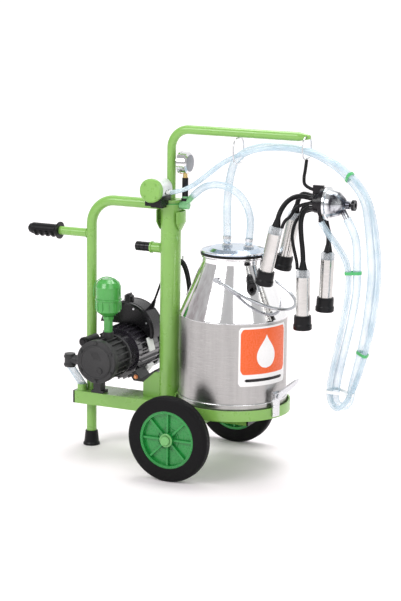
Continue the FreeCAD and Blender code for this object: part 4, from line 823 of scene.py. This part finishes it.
def motor_details():
    """Blank plates, foot nut and cover screws of the motor, its drum's beads, the lead's boot."""
    plates = bmesh.new()
    for angle, wide, tall, out, thick in ((17, 38, 44, 87.6, 2.0), (-36, 42, 36, 88.0, 9.0)):
        radians = math.radians(angle)
        normal = Vector((math.cos(radians), 0, math.sin(radians)))
        tangent = Vector((-normal.z, 0, normal.x))
        at = mm(SHAFT_X, 84, SHAFT_Z) + normal * out * MM
        matrix = Matrix(((0, tangent.x, normal.x, at.x), (1, tangent.y, normal.y, at.y),
                         (0, tangent.z, normal.z, at.z), (0, 0, 0, 1)))
        slab_into(plates, rounded_outline(wide, tall, 3), thick, matrix)
    piece("motor_plates", plates, "white_plastic", material=LABEL_WHITE)
    nut = bmesh.new()
    bolt_into(nut, mm(160, -5, 240), NEAR_SIDE, 10, 5, 0.2)
    piece("foot_nut", nut, "zinc", material=COPPER)
    screws = bmesh.new()
    for angle in (25, 70, 110, 155):
        radians = math.radians(angle)
        at = mm(DRUM_X + 80 * math.cos(radians), 85, DRUM_Z + 80 * math.sin(radians))
        bolt_into(screws, at, NEAR_SIDE, 5, 2.2)
    for angle in range(45, 360, 90):
        radians = math.radians(angle)
        normal = Vector((math.cos(radians), 0, math.sin(radians)))
        bolt_into(screws, mm(SHAFT_X, 176, SHAFT_Z) + normal * 84 * MM, normal, 5, 2.2)
    piece("cover_screws", screws, "zinc")
    drum_wall = 96
    for name, depth in (("drum_bead_front", 92.5), ("drum_bead_back", 157.5)):
        points = []
        for i in range(19):
            angle = math.radians(-2 + 168 * i / 18)
            points.append(mm(DRUM_X + drum_wall * math.cos(angle), depth,
                             DRUM_Z + drum_wall * math.sin(angle)))
        wire(name, points, 1.8, "black_plastic")
    start = mm(*LEAD_ROUTE[0])
    along = mm(*LEAD_ROUTE[1]) - start
    boot = [(4.0, -6), (9, -6), (9, 3), (7.6, 5), (7.6, 10), (6.8, 11), (6.8, 16), (6, 17), (6, 22), (5, 23),
            (4.6, 30), (3.6, 31)]
    lathe("lead_boot", boot, start, along, "black_rubber", 28)


def filter_details():
    """Seam, wire clip, ribs and nut of the filter bowl."""
    wire("filter_seam", circle(FILTER_X, FILTER_Y, 489, 41, 36), 1.8, "filter_green", cyclic=True)
    arch = [(-41.5, -17, 497), (-42, -19, 520), (-36, -19, 543), (-10, -15, 561), (16, -9, 561),
            (34, -3, 545), (41, 0, 524), (42, 0, 500)]
    wire("filter_clip", [mm(FILTER_X + x, FILTER_Y + y, z) for x, y, z in arch], 1.5, "filter_green")
    ribs = bmesh.new()
    for i in range(12):
        angle = TAU * i / 12
        at = mm(FILTER_X + 39.6 * math.cos(angle), FILTER_Y + 39.6 * math.sin(angle), 456)
        slab_into(ribs, rounded_outline(3.2, 3.2, 1.2, 2), 26, basis(at, UP, angle))
    piece("filter_ribs", ribs, "filter_green")
    lathe("filter_nut", [(14.1, 0), (18.5, 0), (18.5, 9), (14.1, 9)], mm(FILTER_X, FILTER_Y, 426), UP,
          "filter_green", 6)


def wheel_details():
    """Hub, axle cap, rim beads and tread of each wheel. The axle's cap stays with the trolley."""
    for side, which in ((-1, "near"), (1, "far")):
        def at_hub(reach):
            """Frame on the wheel's axis, reach millimetres from the middle of the trolley."""
            return basis(mm(WHEEL_X, side * reach, WHEEL_Z), (0, side, 0))

        body = f"{which}_wheel"
        hub = bmesh.new()
        lathe_into(hub, [(8.3, 0), (19, 0), (20.5, 1.5), (20.5, 3), (17, 5), (15.6, 5), (15.6, 2), (8.3, 2)],
                   at_hub(264.3), 40)
        piece(f"hub_cap_{which}", hub, "wheel_green", body, LIGHT_LIME)
        cap = bmesh.new()
        lathe_into(cap, [(0, 0), (13.5, 0), (14.4, 1.5), (14.4, 5), (12, 7.5), (0, 8.2)], at_hub(268.5), 24)
        piece(f"axle_cap_{which}", cap, "wheel_green", material=LIGHT_LIME)
        beads = bmesh.new()
        for radius, reach in ((84, 262.4), (34, 250.5)):
            lathe_into(beads, [(radius - 1.4, -1), (radius - 1, 1.2), (radius + 1, 1.2), (radius + 1.4, -1)],
                       at_hub(reach), 56)
        piece(f"rim_beads_{which}", beads, "wheel_green", body)
        tread = bmesh.new()
        for offset in (-8, 0, 8):
            lathe_into(tread, [(129.7, offset - 1.2), (130.3, offset - 0.6), (130.3, offset + 0.6),
                               (129.7, offset + 1.2)], at_hub(245.5), 72)
        piece(f"tread_{which}", tread, "tyre_rubber", body)


def hull(points):
    """Convex hull of flat points, counter-clockwise."""
    points = sorted(set(points))
    chains = []
    for ordered in (points, points[::-1]):
        chain = []
        for p in ordered:
            while len(chain) > 1 and ((chain[-1][0] - chain[-2][0]) * (p[1] - chain[-2][1])
                                      - (chain[-1][1] - chain[-2][1]) * (p[0] - chain[-2][0])) <= 0:
                chain.pop()
            chain.append(p)
        chains.append(chain[:-1])
    return chains[0] + chains[1]


def clip(name, target, material):
    """A plastic band round the milk hose and both pulse hoses where they pass a point."""
    width = 9.0
    reach = 0.06  # metres: what lies farther off is another run of the hose
    at, along = nearest(MILK_LINE, mm(*target))
    frame_here = basis(at, along)
    back = frame_here.inverted()
    flat = []

    def off_plane(point):
        here = back @ point
        return abs(here.z) + (here.length if here.length > reach else 0)

    for line, radius in ((MILK_LINE, 12), (NEAR_LINE, 6.5), (FAR_LINE, 6.5)):
        best = min(line, key=off_plane)
        centre = (back @ best) / MM
        flat += [(round(centre.x + (radius + 0.5) * math.cos(TAU * i / 20), 3),
                  round(centre.y + (radius + 0.5) * math.sin(TAU * i / 20), 3)) for i in range(20)]
    inner = hull(flat)
    middle_point = Vector((sum(p[0] for p in inner) / len(inner), sum(p[1] for p in inner) / len(inner)))
    bm = bmesh.new()
    rings = []
    for grow, height in ((0, -width / 2), (1.6, -width / 2), (2.0, 0), (1.6, width / 2), (0, width / 2)):
        ring = []
        for x, y in inner:
            away = (Vector((x, y)) - middle_point).normalized() * grow
            ring.append(bm.verts.new(frame_here @ mm(x + away.x, y + away.y, height)))
        rings.append(ring)
    for here, following in zip(rings, rings[1:] + rings[:1]):
        for i in range(len(inner)):
            j = (i + 1) % len(inner)
            bm.faces.new([here[i], here[j], following[j], following[i]])
    piece(name, bm, "filter_green", material=material)


def latch_details():
    """The screws of the latch's plate, on the can's side that the latch is turned to."""
    turn = math.radians(-20)
    out = Vector((math.cos(turn), math.sin(turn), 0))
    side = Vector((-out.y, out.x, 0))
    centre = mm(CAN_X, 0, 0)

    def at(reach, across, height):
        return centre + out * reach * MM + side * across * MM + Vector((0, 0, height * MM))

    screws = bmesh.new()
    for height in (197, 222):
        bolt_into(screws, at(183.8, -10, height), out, 5, 2)
    piece("latch_screws", screws, "zinc")


def head_details():
    """Band, pulsator fittings, tee nut and gauge glass at the column's head; the coil's ties."""
    ring = bmesh.new()
    lathe_into(ring, [(31.6, 0), (34.5, 0), (34.5, 3), (31.6, 3)], basis(mm(COLUMN_X, 0, 798), UP), 40)
    piece("column_band", ring, "filter_green")
    teats = bmesh.new()
    for y in (-40, -55):
        lathe_into(teats, [(5.1, 0), (6.6, 0), (6.6, 3), (5.1, 3)], basis(mm(283, y, 839), FORWARD), 24)
    piece("pulsator_teats", teats, "black_plastic")
    screws = bmesh.new()
    for i in range(4):
        angle = TAU * (i + 0.5) / 4
        bolt_into(screws, mm(256 + 26 * math.cos(angle), -108, 847 + 26 * math.sin(angle)), NEAR_SIDE, 5, 2)
    piece("pulsator_screws", screws, "frame_green")
    tee = bmesh.new()
    lathe_into(tee, [(9.6, 0), (13.5, 0), (13.5, 8), (9.6, 8)], basis(mm(TEE_X, 0, 809), UP), 6)
    piece("tee_nut", tee, "black_plastic")
    lathe("gauge_glass", [(0, 0), (31, 0), (31, 0.8), (20, 1.8), (0, 2.4)], mm(311, 0, GAUGE_Z), (-1, 0, 0),
          "clear_cap", material=GLASS)
    lathe("gauge_back", [(0, 0), (26, 0), (26, 0.6), (23, 1.4), (0, 1.4)], mm(338, 0, GAUGE_Z), FORWARD,
          "polished_steel", material=FINISHES["fan_grey"])
    ties = bmesh.new()
    for x, height in ((237, 420), (313, 505), (313, 410)):
        lathe_into(ties, [(11.4, -5), (12.6, -5), (13, 0), (12.6, 5), (11.4, 5)],
                   basis(mm(x, 66, height), UP), 28)
    piece("coil_ties", ties, "black_rubber")


MILK_LINE = line_of(milk)
NEAR_LINE = line_of(pulse_near)
FAR_LINE = line_of(pulse_far)
welds()
can_label()
can_details()
pump_details()
motor_details()
filter_details()
wheel_details()
latch_details()
head_details()
clip("hose_clip_top", (838, 0, 907), TIE_GREEN)
clip("hose_clip_right", (905, 0, 399), TIE_GREEN)
clip("hose_clip_left", (880, 0, 634), TIE_GREEN)
clip("hose_clip_foot", (820, 0, 280), FINISHES["white_plastic"])


# ---- studio --------------------------------------------------------------------------------

FLOOR_RADIUS = 25.0
# The room's brightness behind the camera (low Y) and behind the object (high Y): where, how bright.
WORLD_DIM = (0.0, 0.52)
WORLD_BRIGHT = (0.35, 1.05)
BACKDROP = (1.05, 1.05, 1.05, 1.0)
# Each lamp: name, place, what it is aimed at, size and power.
LAMPS = (
    ("key", (-1.1, -3.4, 3.0), (0.4, 0, 0.5), 2.4, 85.0),
    ("panel", (2.9, -2.3, 2.3), (0.49, 0, 0.55), 2.6, 34.0),
    ("top", (0.4, 0.8, 3.4), (0.4, 0, 0.4), 2.2, 70.0),
)


def studio():
    """A white floor that glows far out, a room that is dimmer behind the camera, and three lamps."""
    floor_mesh = bpy.data.meshes.new("floor")
    bm = bmesh.new()
    bmesh.ops.create_circle(bm, cap_ends=True, segments=96, radius=FLOOR_RADIUS)
    bm.to_mesh(floor_mesh)
    bm.free()
    floor = bpy.data.objects.new("floor", floor_mesh)
    scene.collection.objects.link(floor)
    paint = Paint("studio_floor", Roughness=0.55, Emission_Color=(1, 1, 1, 1))
    paint.colour(paint.mixed(paint.noise(7.0), (0.93, 0.88, 0.90), (0.91, 0.86, 0.88)))
    away = paint.node("ShaderNodeVectorMath", operation="LENGTH")
    paint.link(paint.place, away.inputs[0])
    glow = paint.ranged(away.outputs["Value"], 1.2, 3.0, 0.04, 0.4)
    paint.link(glow, paint.shader.inputs["Emission Strength"])
    floor_mesh.materials.append(paint.material)
    scene.view_settings.view_transform = "Standard"
    world = bpy.data.worlds.new("studio")
    scene.world = world
    world.use_nodes = True
    tree = world.node_tree
    background = tree.nodes["Background"]
    where = tree.nodes.new("ShaderNodeTexCoord")
    parts = tree.nodes.new("ShaderNodeSeparateXYZ")
    tree.links.new(where.outputs["Generated"], parts.inputs[0])
    ramp = tree.nodes.new("ShaderNodeValToRGB")
    for element, (position, brightness) in zip(ramp.color_ramp.elements, (WORLD_DIM, WORLD_BRIGHT)):
        element.position = position
        element.color = (brightness,) * 3 + (1,)
    tree.links.new(parts.outputs["Y"], ramp.inputs["Fac"])
    seen = tree.nodes.new("ShaderNodeLightPath")
    paper = tree.nodes.new("ShaderNodeMix")
    paper.data_type = "RGBA"
    paper.inputs[7].default_value = BACKDROP
    tree.links.new(seen.outputs["Is Camera Ray"], paper.inputs[0])
    tree.links.new(ramp.outputs["Color"], paper.inputs[6])
    tree.links.new(paper.outputs[2], background.inputs["Color"])
    background.inputs["Strength"].default_value = 1.0
    for name, at, aim, size, power in LAMPS:
        data = bpy.data.lights.new(name, "AREA")
        data.shape = "RECTANGLE"
        data.size = size
        data.size_y = size * 0.7
        data.energy = power
        lamp = bpy.data.objects.new(name, data)
        scene.collection.objects.link(lamp)
        lamp.location = at
        lamp.rotation_euler = (Vector(aim) - Vector(at)).to_track_quat("-Z", "Y").to_euler()


studio()
